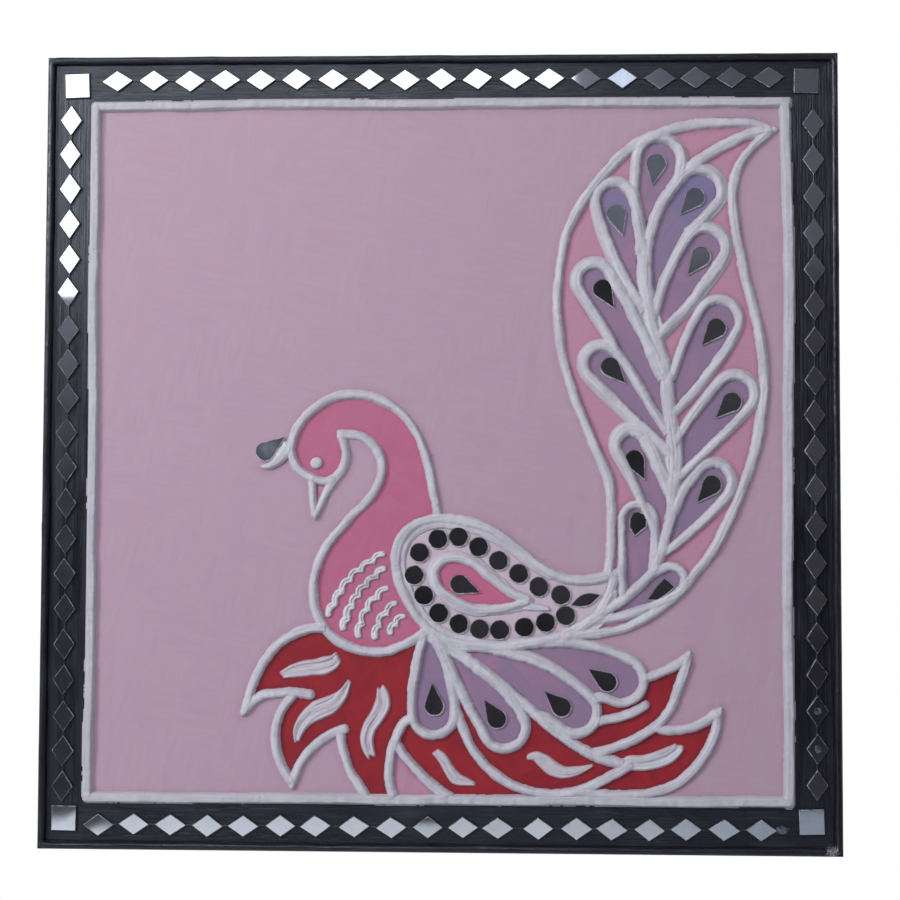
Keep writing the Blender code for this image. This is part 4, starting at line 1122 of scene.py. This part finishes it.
def make_eye(clay):
    """The eye: a pressed ball of clay."""
    low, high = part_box("eye_dot")
    middle = (low + high) / 2
    radius, height = (high.x - low.x) / 2, high.y - low.y
    rings = [(1.0, 0.0), (0.99, 0.25), (0.93, 0.5), (0.8, 0.74), (0.6, 0.9), (0.35, 0.98), (0.12, 1.0)]
    around = 28
    verts, rise = [], []
    for share, up in rings:
        for k in range(around):
            turn = 2 * math.pi * k / around
            reach = radius * share * (1 + 0.05 * math.sin(2 * turn + 0.6) - 0.03)
            verts.append((middle.x + reach * math.cos(turn), high.y - height * up,
                          middle.z + reach * math.sin(turn)))
            rise.append(up)
    faces = [tuple(range(around))[::-1], tuple(range((len(rings) - 1) * around, len(rings) * around))]
    for ring in range(len(rings) - 1):
        for k in range(around):
            a, b = ring * around + k, ring * around + (k + 1) % around
            faces.append((a, b, b + around, a + around))
    body = Body()
    body.add(verts, faces, rise=rise)
    eye = body.piece("eye_ball", [clay])
    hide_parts("eye_dot")


def make_border(clay):
    """Four clay strips butted at the corners round the picture."""
    half = GRID_UNITS / 2
    ends = {"top": (-half - 2, half + 1.8), "bottom": (-half - 2, half),
            "left": (-half, half), "right": (-half - 1.5, half)}
    reach = PICTURE_SIDE / 2 + BORDER_WIDTH
    field = Field((-reach, -reach), (reach, reach))
    for number, (side, offsets) in enumerate(BORDER_LINES.items()):
        run = np.linspace(*ends[side], len(offsets))
        sign = -1 if side in ("left", "bottom") else 1
        points = [(place, sign * offset) if side in ("top", "bottom") else (sign * offset, place)
                  for place, offset in zip(run, offsets)]
        press_coil(field, stroke(points), [4.9, 4.7, 5.0, 4.8], FRONT - BORDER_LOW.y - 0.0003, 40 + number,
                   "start end", squareness=6, unevenness=0.3)
    strips = field.piece("border_strips", [clay])
    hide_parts("border_coil")


def make_rim(black):
    """The black coil along the board's edge."""
    middle = RIM_HIGH.x - RIM_WIDTH / 2
    inner = middle - RIM_CORNER_RADIUS
    path = []
    for quarter, (right, upper) in enumerate(((1, 1), (-1, 1), (-1, -1), (1, -1))):
        for turn in np.linspace(0, math.pi / 2, 8) + quarter * math.pi / 2:
            path.append((inner * right + RIM_CORNER_RADIUS * math.cos(turn),
                         inner * upper + RIM_CORNER_RADIUS * math.sin(turn)))
    body = Body()
    roll(body, np.array(path), RIM_WIDTH * 0.88, SEAT - RIM_LOW.y, 50, closed=True, waver=0.8)
    rim = body.piece("black_rim", [black])
    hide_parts("rim_coil")


def glass(body, outline, rng, slip=GLUE_SLIP, glue=PALE_GLUE_AND_HIGHLIGHT):
    """Adds a cut mirror on its glue: silvered face, ground edge, squeezed glue. On mirrors over pale glue the
    edges facing the lower right are pale and the others dark, painted highlight and painted shade, and the glue
    shows as a painted highlight rim at the lower right.
    """
    centre = outline.mean(axis=0)
    tilt = rng.normal(0, 0.005, 2)
    ahead = np.roll(outline, -1, axis=0) - np.roll(outline, 1, axis=0)
    out = np.stack([ahead[:, 1], -ahead[:, 0]], axis=1)
    out /= np.linalg.norm(out, axis=1)[:, None]
    count = len(outline)
    top = SEAT - MIRROR_THICKNESS
    rings = [(outline, SEAT, 0.0), (outline, top + MIRROR_BEVEL, 1.0),
             (outline - out * MIRROR_BEVEL, top, 1.0)]
    verts = []
    for points, level, tilted in rings:
        for point in points:
            lean = tilted * float((point - centre) @ tilt)
            verts.append((point[0], min(level + lean, SEAT), point[1]))
    sides = [(k, (k + 1) % count, (k + 1) % count + count, k + count) for k in range(count)]
    for k, face in enumerate(sides):
        # Edges facing roughly lower right get the lit edge and the rest the shaded edge: painted highlight and
        # painted shade. On dark glue all edges are lit, as pale ground glass.
        lit = glue == DARK_GLUE or out[k] @ (0.5, -0.85) > -0.25
        body.add(verts, [face, tuple(index + count for index in face)], LIT_EDGE if lit else SHADED_EDGE)
    body.add(verts, [tuple(range(2 * count, 3 * count))], SILVER)
    body.add(verts, [tuple(range(count))[::-1]], LIT_EDGE)
    # Glue shifted to the lower right and raised near the glass's top: on pale glue it shows as a painted
    # highlight rim.
    spread = outline + out * GLUE_SPREAD * rng.uniform(0.6, 1.3, (count, 1)) + np.array(slip)
    inset = outline + out * GLUE_SPREAD * 0.2 + np.array(slip) * 0.8
    film = [(p[0], FRONT - 0.00008, p[1]) for p in spread]
    film += [(p[0], SEAT - GLUE_HEIGHT, p[1]) for p in inset]
    body.add(film, sides + [tuple(range(count, 2 * count)), tuple(range(count))[::-1]], glue)


def smear(body, centre, size, level, rng):
    """Adds a thin dried smear of glue."""
    count = SMEAR_CORNERS
    turns = np.linspace(0, 2 * math.pi, count, endpoint=False)
    reach = 1 + rng.normal(0, 0.09, count)
    ring = np.stack([np.cos(turns) * reach * size[0] / 2, np.sin(turns) * reach * size[1] / 2], axis=1)
    verts = [(centre[0] + p[0] * share, level - up, centre[1] + p[1] * share)
             for share, up in ((1.0, 0.0), (0.8, SMEAR_HEIGHT)) for p in ring]
    faces = [(k, (k + 1) % count, (k + 1) % count + count, k + count) for k in range(count)]
    body.add(verts, faces + [tuple(range(count, 2 * count)), tuple(range(count))[::-1]], SMEARED_GLUE)


def finish_glass(body, name, node, finishes):
    """Makes the glass piece that stands for a node."""
    piece = body.piece(name, finishes, smooth=False)
    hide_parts(node)


def round_outline(centre, radius, rng):
    """A hand-nipped round mirror: a circle with flats and small chips."""
    turns = np.linspace(0, 2 * math.pi, 30, endpoint=False)
    radius = radius * 1.045
    reach = np.full(30, radius) * (1 + rng.normal(0, 0.010, 30))
    for flat in rng.uniform(0, 2 * math.pi, 4):
        depth = radius * rng.uniform(0.0, 0.05)
        facing = np.cos(turns - flat)
        cut = (radius - depth) / np.where(facing > 0.5, facing, 1e-9)
        reach = np.where(facing > 0.5, np.minimum(reach, cut), reach)
    return centre + np.stack([np.cos(turns), np.sin(turns)], axis=1) * reach[:, None]


def make_rounds(finishes):
    """The round mirrors of the wing's band."""
    path = curve(grid(ROUND_LOOP), True)
    path = np.concatenate([path, path[:1]])
    marks = lengths_along(path)
    count = int(marks[-1] / (ROUND_DIAMETER + ROUND_GAP))
    pitch = marks[-1] / count
    for number in range(count):
        rng = np.random.default_rng(200 + number)
        travel = (number * pitch + ROUND_DRIFT[number % len(ROUND_DRIFT)] * (pitch - ROUND_DIAMETER)) % marks[-1]
        centre = np.array([np.interp(travel, marks, path[:, k]) for k in (0, 1)])
        body = Body()
        glass(body, round_outline(centre, ROUND_DIAMETER / 2, rng), rng)
        finish_glass(body, f"round_glass_{number + 1:02d}", f"round_mirror_{number + 1:02d}", finishes)


def drop_outline(x, z, direction, rng, length=DROP_LENGTH):
    """A teardrop from its point: straight sides and a round end."""
    axis, left = heading(direction)
    radius = DROP_WIDTH / 2
    centre = np.array((x, z)) * UNIT + axis * (length - radius)
    start = math.asin(radius / (length - radius))
    turns = np.linspace(-math.pi / 2 - start, math.pi / 2 + start, 20)
    reach = radius * (1 + rng.normal(0, 0.008, 20))
    ends = centre + axis * (reach * np.cos(turns))[:, None] + left * (reach * np.sin(turns))[:, None]
    return np.concatenate([[np.array((x, z)) * UNIT], ends])


def leaf_outline(place, length, width, direction):
    """A pointed oval."""
    axis, left = heading(direction)
    share = np.linspace(0, 1, 12, endpoint=False)[:, None]
    sides = [np.array(place) * UNIT - axis * side * length * (share - 0.5)
             + left * side * np.sin(math.pi * share) * width / 2 for side in (1, -1)]
    return np.concatenate(sides)


def make_drops(finishes):
    """Teardrop mirrors, the two broken ones and the pointed oval."""
    drops = {"crest": CREST_MIRROR, "wing": WING_MIRROR}
    drops |= {f"feather_{k + 1:02d}": place for k, place in enumerate(FEATHER_MIRRORS)}
    drops |= {f"petal_{k + 1}": place for k, place in enumerate(PETAL_MIRRORS)}
    outlines = {}
    for number, (name, place) in enumerate(drops.items()):
        length = DROP_LENGTH * (1.05 if name == "crest" else 1.0)
        outlines[name] = drop_outline(*place, np.random.default_rng(300 + number), length)
    whole = len(FEATHER_MIRRORS)
    for number, outline in enumerate((BROKEN_DROP_OUTLINE, SHARD_OUTLINE)):
        outlines[f"feather_{whole + number + 1:02d}"] = grid(outline)
    outlines["leaf"] = leaf_outline(
        LEAF_MIRROR_PLACE, LEAF_MIRROR_LENGTH, LEAF_MIRROR_WIDTH, LEAF_MIRROR_ANGLE)
    for number, (name, outline) in enumerate(outlines.items()):
        body = Body()
        glass(body, outline, np.random.default_rng(340 + number))
        kind, _, rest = name.partition("_")
        node = f"{kind}_mirror_{rest}" if rest else f"{kind}_mirror"
        finish_glass(body, f"{kind}_glass_{rest}" if rest else f"{kind}_glass", node, finishes)


def make_corner_squares(finishes):
    """The square mirrors of the corners."""
    for number in range(4):
        corners = node_outline(f"corner_mirror_{number + 1}")
        body = Body()
        glass(body, corners, np.random.default_rng(380 + number), (0.0, 0.0), DARK_GLUE)
        finish_glass(body, f"corner_glass_{number + 1}", f"corner_mirror_{number + 1}", finishes)


def node_outline(node):
    """A flat quadrilateral node's corners, counterclockwise."""
    points = {(round(v.co.x, 6), round(v.co.z, 6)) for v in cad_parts[node].data.vertices}
    points = np.array(sorted(points))
    centre = points.mean(axis=0)
    return points[np.argsort(np.arctan2(points[:, 1] - centre[1], points[:, 0] - centre[0]))]


def make_diamond_row(side, finishes):
    """One side's diamonds and the bead of glue between their points."""
    low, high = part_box(f"diamond_row_{side}")
    middle = (low + high) / 2
    upright = side in ("left", "right")
    run = (high.z - low.z if upright else high.x - low.x) - DIAMOND_LENGTH
    count = DIAMOND_COUNTS[side]
    rng = np.random.default_rng(400 + len(side) * 7 + count)
    body = Body()
    centre = np.array((middle.x, middle.z))
    along = np.array((0.0, 1.0)) if upright else np.array((1.0, 0.0))
    for number in range(count):
        spot = centre + along * (run * (number / (count - 1) - 0.5) + rng.normal(0, 0.00035))
        spot = spot + np.array((along[1], along[0])) * rng.normal(0, 0.0002)
        axis, left = heading((90 if upright else 0) + rng.normal(0, 1.6))
        length = DIAMOND_LENGTH * rng.uniform(0.95, 1.0)
        width = DIAMOND_WIDTH * rng.uniform(0.95, 1.0)
        outline = np.array([spot + axis * length / 2, spot + left * width / 2,
                            spot - axis * length / 2, spot - left * width / 2])
        glass(body, outline, rng, (0.0, 0.0), DARK_GLUE)
        if side == "right" and number in (1, 2):
            smear(body, spot, MARK_SIZE, SEAT - MIRROR_THICKNESS - SMEAR_LIFT, rng)
        if side == "bottom" and number == count - 1:
            smear(body, spot + along * SPILL_OFFSET, SPILL_SIZE, FRONT, rng)
    share = np.linspace(0, 1, 60)[:, None]
    path = centre + along * run * (share - 0.5)
    roll(body, path, BEAD_WIDTH, BEAD_HEIGHT, 430 + count, slot=DARK_GLUE)
    finish_glass(body, f"diamond_glass_{side}", f"diamond_row_{side}", finishes)


def areas():
    """Painted areas of the picture: name, outline, layer, finish and the axis of a loop."""
    strokes = {name: stroke(points) for name, points in (
        ("neck", NECK_BACK), ("beak_front", BEAK_FRONT), ("beak_back", BEAK_BACK), ("brow", BROW_BAR),
        ("breast", BREAST), ("wing", WING_OUTLINE), ("vein", TAIL_VEIN), ("divider", PETAL_DIVIDER))}
    leaf = [stroke(points) for _, points in LEAF_EDGES]
    body = np.concatenate([
        strokes["neck"], strokes["brow"], between(strokes["beak_back"], (-53.6, -15.4), (-49.7, 9.6)),
        strokes["breast"], between(strokes["wing"], (-5, -90.5), (0.4, -35))])
    beak = np.concatenate([strokes["beak_front"], between(strokes["beak_back"], (-62.9, -36), (-53, -15.6))])
    wing = np.concatenate([strokes["wing"], grid([(72, -91), (84, -79), (88, -68)])])
    tail = np.concatenate([stroke(TAIL_LEFT_EDGE), stroke(TAIL_RIGHT_EDGE)[::-1]])
    first_petal = loop(*PETAL_LOOPS[0])
    left_leaf = np.concatenate([
        leaf[0], between(leaf[1], (-98.2, -133), (-72.8, -124.2)), leaf[2],
        between(leaf[3], (-73.3, -169.4), (-49.5, -142.8)), leaf[4], leaf[5][::-1],
        between(first_petal, (-12, -135), (-7, -93.5)), between(strokes["breast"], (-7, -94), (-57, -91))])
    second_leaf = np.concatenate([
        between(leaf[5], (-11, -135.8), (-21, -147)), leaf[6], grid([(40, -176)]),
        between(leaf[7], (46, -172), (8.8, -130)), grid([(5.5, -121)])])
    third_leaf = np.concatenate([
        between(leaf[7], (15, -146), (98, -157.9)),
        between(strokes["divider"], (93.5, -157.8), (43.2, -127.5)),
        grid([(33.6, -140), (22, -139), (17, -131), (13, -125), (11, -126), (11.5, -136)])])
    fourth_leaf = np.concatenate([
        between(strokes["divider"], (54.8, -138.1), (81.3, -154.5)), leaf[8], leaf[9],
        grid([(92.8, -116), (76, -130)])])
    fifth_leaf = np.concatenate([
        between(leaf[8], (84, -151.5), (109.5, -139.6)), leaf[10],
        between(leaf[11], (141.6, -131.6), (80, -172.8)),
        between(leaf[7], (80, -168), (98, -157.9))])
    pocket = np.concatenate([
        between(leaf[6], (-21, -148), (7, -175.6)), between(leaf[5], (-21.4, -177), (-21, -146))])
    red = painted("leaf_paint", LEAF_RED, LEAF_STREAK, LEAF_HALO, 25, 0.003)
    tail_pink = painted("tail_paint", TAIL_PINK, TAIL_STREAK, TAIL_HALO, 80, 0.003, 0.35)
    listed = [
        ("body_paint", body, AREA_LAYER, painted("body_paint", BODY_PINK, BODY_STREAK, BODY_HALO, 60, 0.003)),
        ("beak_paint", beak, TOP_LAYER, painted("beak_paint", TAIL_PINK, TAIL_PINK, BEAK_EDGE, 80, 0.001)),
        ("wing_paint", wing, WING_LAYER, painted("wing_paint", WING_PALE, WING_STREAK, WING_HALO, -20, 0.002)),
        ("heart_paint", stroke(WING_HEART, True), TOP_LAYER,
         painted("heart_paint", HEART_PINK, BODY_STREAK, BODY_HALO, -30, 0.002)),
        ("tail_paint", tail, AREA_LAYER, tail_pink),
        ("pocket_paint", pocket, TOP_LAYER, tail_pink),
    ]
    listed = [(*entry, None) for entry in listed]
    for number, outline in enumerate((left_leaf, second_leaf, third_leaf, fourth_leaf, fifth_leaf)):
        listed.append((f"leaf_paint_{number + 1}", outline, AREA_LAYER, red, None))
    for kind, loops, mixes in (("feather", FEATHER_LOOPS, FEATHER_MIXES), ("petal", PETAL_LOOPS, PETAL_MIXES)):
        for number, place in enumerate(loops):
            outline = loop(*place)
            if kind == "feather" and number == 1:
                outline = np.concatenate([
                    between(strokes["vein"], (107, 72), (112.5, 123.6)), outline,
                    between(loop(*loops[3]), (121, 104), (109.5, 74))])
            name = f"{kind}_paint_{number + 1:02d}"
            streak, share, head = mixes[number]
            finish = painted(name, PURPLE, streak, PURPLE_HALO, place[3], 0.002, share, head)
            axis = (np.array(place[1]) * UNIT, heading(place[3])[0])
            listed.append((name, outline, LOOP_LAYERS[number % 3], finish, axis))
    return listed


def make_paint(coils):
    """The pink ground and the painted areas on it."""
    run = np.linspace(-GRID_UNITS / 2, GRID_UNITS / 2, len(BORDER_LINES["top"]))[1:-1]
    top, bottom, left, right = (BORDER_LINES[side] for side in ("top", "bottom", "left", "right"))
    square = grid([(-left[0], -bottom[0]), *((x, -z) for x, z in zip(run, bottom[1:-1])),
                   (right[0], -bottom[-1]), *((x, z) for z, x in zip(run, right[1:-1])),
                   (right[-1], top[-1]), *((x, z) for x, z in zip(run[::-1], top[-2:0:-1])),
                   (-left[-1], top[0]), *((-x, z) for z, x in zip(run[::-1], left[-2:0:-1]))])
    ground = painted("ground_paint", FIELD_PINK, FIELD_STREAK, FIELD_HALO, 78, 0.005, 0.45)
    paint_area("ground_paint", square, GROUND_LAYER, GROUND_STEP, ground, coils)
    for name, outline, layer, finish, axis in areas():
        paint_area(name, outline, layer, AREA_STEP, finish, coils, axis)


def soft_light(name, place, target, size, power, colour=(1.0, 1.0, 1.0)):
    """A rectangular soft light that faces a point."""
    data = bpy.data.lights.new(name, "AREA")
    data.shape = "RECTANGLE"
    data.size, data.size_y = size
    data.energy = power
    data.color = colour
    light = linked(name, data)
    light.location = place
    light.rotation_euler = (Vector(target) - Vector(place)).to_track_quat("-Z", "Y").to_euler()


def make_world():
    """White to the camera, soft to the clay and paint, and a room of dim slate patches to the mirrors."""
    world = bpy.data.worlds.new("studio")
    world.use_nodes = True
    tree = world.node_tree
    tree.nodes.clear()
    place = tree.nodes.new("ShaderNodeTexCoord")
    axes = tree.nodes.new("ShaderNodeSeparateXYZ")
    room = tree.nodes.new("ShaderNodeTexNoise")
    room.inputs["Scale"].default_value = 13.0
    link = tree.links.new

    def spread(value, low, high, out_low, out_high):
        node = tree.nodes.new("ShaderNodeMapRange")
        node.interpolation_type = "SMOOTHSTEP"
        ends = {"From Min": low, "From Max": high, "To Min": out_low, "To Max": out_high}
        for socket, number in ends.items():
            node.inputs[socket].default_value = number
        link(value, node.inputs["Value"])
        return node.outputs[0]

    def join(operation, first, second):
        node = tree.nodes.new("ShaderNodeMath")
        node.operation = operation
        link(first, node.inputs[0])
        link(second, node.inputs[1])
        return node.outputs[0]

    def background(colour, strength):
        node = tree.nodes.new("ShaderNodeBackground")
        node.inputs["Color"].default_value = (*colour, 1.0)
        node.inputs["Strength"].default_value = strength
        return node.outputs[0]

    def choose(share, first, second):
        node = tree.nodes.new("ShaderNodeMixShader")
        for socket, source in zip(node.inputs, (share, first, second)):
            link(source, socket)
        return node.outputs[0]

    link(place.outputs["Generated"], axes.inputs[0])
    link(place.outputs["Generated"], room.inputs["Vector"])
    east, near, up = axes.outputs["X"], axes.outputs["Y"], axes.outputs["Z"]
    patches = spread(room.outputs[0], 0.3, 0.7, 0.75, 1.0)
    slate = join("MULTIPLY", spread(up, 0.133, 0.162, 0.0, 0.185), spread(east, 0.080, 0.125, 1.0, 0.56))
    slate = join("MULTIPLY", slate, spread(east, 0.150, 0.185, 1.0, 0.60))
    west = join("MULTIPLY", spread(east, -0.24, -0.17, 1.0, 0.0), spread(up, 0.02, 0.12, 0.022, 0.14))
    crest = tree.nodes.new("ShaderNodeVectorMath")
    crest.operation = "DISTANCE"
    crest.inputs[1].default_value = CREST_GLOW
    link(place.outputs["Generated"], crest.inputs[0])
    glow = join("ADD", spread(crest.outputs["Value"], 0.0, 0.009, 0.24, 0.0),
                spread(crest.outputs["Value"], 0.02, 0.04, 0.05, 0.0))
    around = join("ADD", join("ADD", join("MULTIPLY", slate, patches), west), glow)
    tail = join("MULTIPLY", spread(up, 0.0, 0.06, 0.3, 1.0), spread(east, 0.07, 0.13, 0.25, 1.0))
    tail = join("MULTIPLY", tail, spread(up, 0.1, 0.15, 0.032, 0.012))
    low = join("ADD", spread(room.outputs[0], 0.35, 0.65, 0.010, 0.034), tail)
    low = join("ADD", low, spread(near, -0.60, -0.15, 0.0, 0.40))
    rays = tree.nodes.new("ShaderNodeLightPath")
    mirrored = background((0.767, 0.80, 1.0), 1.0)
    link(around, mirrored.node.inputs["Strength"])
    dim = background((0.94, 0.88, 1.0), 1.0)
    link(low, dim.node.inputs["Strength"])
    both = tree.nodes.new("ShaderNodeAddShader")
    link(mirrored, both.inputs[0])
    link(dim, both.inputs[1])
    inner = choose(rays.outputs["Is Glossy Ray"], background((0.95, 0.97, 1.0), 0.25), both.outputs[0])
    outer = choose(rays.outputs["Is Camera Ray"], inner, background((1.0, 1.0, 1.0), 1.0))
    link(outer, tree.nodes.new("ShaderNodeOutputWorld").inputs["Surface"])
    bpy.context.scene.world = world


def make_studio():
    """Floor, lights, world and camera."""
    mesh = bpy.data.meshes.new("floor")
    mesh.from_pydata([(-1.6, -1.83, -0.5), (1.6, -1.83, -0.5), (1.6, 0.5, -0.5), (-1.6, 0.5, -0.5)], [],
                     [tuple(range(4))])
    finish = Finish("floor_paper_and_shade", 0.8)
    place = finish.node("SeparateXYZ", {"Vector": finish.place()}, "X").node
    # The floor is near black at its far left end, behind a stepped edge, and darker and bluer towards the right:
    # painted shade, for what the bottom mirrors reflect.
    step = finish.sum(finish.spread(place.outputs["X"], -0.634, -0.630, 0.0, 0.085),
                      finish.spread(place.outputs["X"], -0.588, -0.578, 0.0, 0.3))
    far = finish.spread(finish.sum(place.outputs["Y"], step), -1.72, -1.60)
    tone = finish.mix(finish.spread(finish.speckle(0.2), 0.3, 0.7), (0.73, 0.75, 0.80), (0.76, 0.78, 0.83))
    tone = finish.mix(finish.spread(place.outputs["X"], 0.15, 0.50), tone, (0.50, 0.54, 0.64))
    finish.colour(finish.mix(far, (0.04, 0.04, 0.045), tone))
    mesh.materials.append(finish.made)
    linked("floor", mesh)
    soft_light("key", (-0.451, -0.95, 0.567), (-0.451, 0.0, 0.567), (1.10, 0.69), 4.5)
    soft_light("side", (-1.66, -1.36, 0.76), (0.0, 0.0, -0.05), (0.52, 0.52), 22.5)
    soft_light("fill", (0.9, -0.5, 0.9), (0.1, 0.0, 0.0), (0.6, 0.6), 0.8)
    soft_light("glint", (0.157, -0.84, 0.405), (0.094, 0.0, 0.19), (0.040, 0.070), 0.0068, (0.78, 0.865, 1.0))
    soft_light("floor_light", (-0.36, -1.3, 0.7), (-0.26, -1.4, -0.5), (0.6, 0.5), 4.3, (0.90, 0.96, 1.0))
    make_world()
    camera = linked("camera", bpy.data.cameras.new("camera"))
    camera.location = CAMERA_PLACE
    camera.rotation_euler = [math.radians(angle) for angle in CAMERA_TURN]
    camera.data.lens = CAMERA_LENS
    bpy.context.scene.camera = camera
    bpy.context.scene.view_settings.view_transform = "Standard"


def build():
    """Every piece of the panel's looks."""
    strokes = relief_strokes()
    coils = coil_tree(strokes)
    clay = clay_finish("white_clay_paint", CLAY_WHITE, CLAY_SHADE, CLAY_LOW)
    dab_clay = clay_finish("dab_clay_paint", (0.57, 0.53, 0.60), (0.48, 0.43, 0.50), (0.36, 0.24, 0.31))
    strip_clay = clay_finish("strip_clay_paint", (0.68, 0.65, 0.72), CLAY_WHITE, (0.28, 0.15, 0.22))
    black = black_finish("rim_paint", BLACK).made
    board_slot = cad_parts["board"].material_slots[0]
    board_slot.link = "OBJECT"
    board_slot.material = board_finish()
    make_relief(strokes, clay)
    make_small_clay(clay, dab_clay, strip_clay)
    # The border's low colour is a darker grey: painted shade on the strips' low sides.
    make_border(clay_finish(
        "border_clay_paint_and_shade", (0.52, 0.505, 0.57), (0.45, 0.435, 0.50), (0.42, 0.395, 0.46)))
    make_rim(black)
    # The first edge finish is pale: ground glass on the diamonds and corner squares, and painted highlight on
    # the lower right edges of the other mirrors. The shaded edge finish is painted shade.
    finishes = [mirror_finish(), edge_finish("pale_edge_and_highlight", (0.46, 0.49, 0.52), (0.06, 0.065, 0.075)),
                glue_finish("dried_glue_and_highlight", (0.62, 0.60, 0.64), (0.26, 0.25, 0.28)),
                glue_finish("dark_glue", (0.05, 0.05, 0.06), (0.012, 0.012, 0.016)),
                edge_finish("shaded_edge", (0.14, 0.15, 0.16), (0.02, 0.022, 0.024)),
                glue_finish("smeared_glue", (0.12, 0.135, 0.165), (0.022, 0.028, 0.04))]
    make_rounds(finishes)
    make_drops(finishes)
    make_corner_squares(finishes)
    for side in DIAMOND_COUNTS:
        make_diamond_row(side, finishes)
    make_paint(coils)
    make_studio()


build()
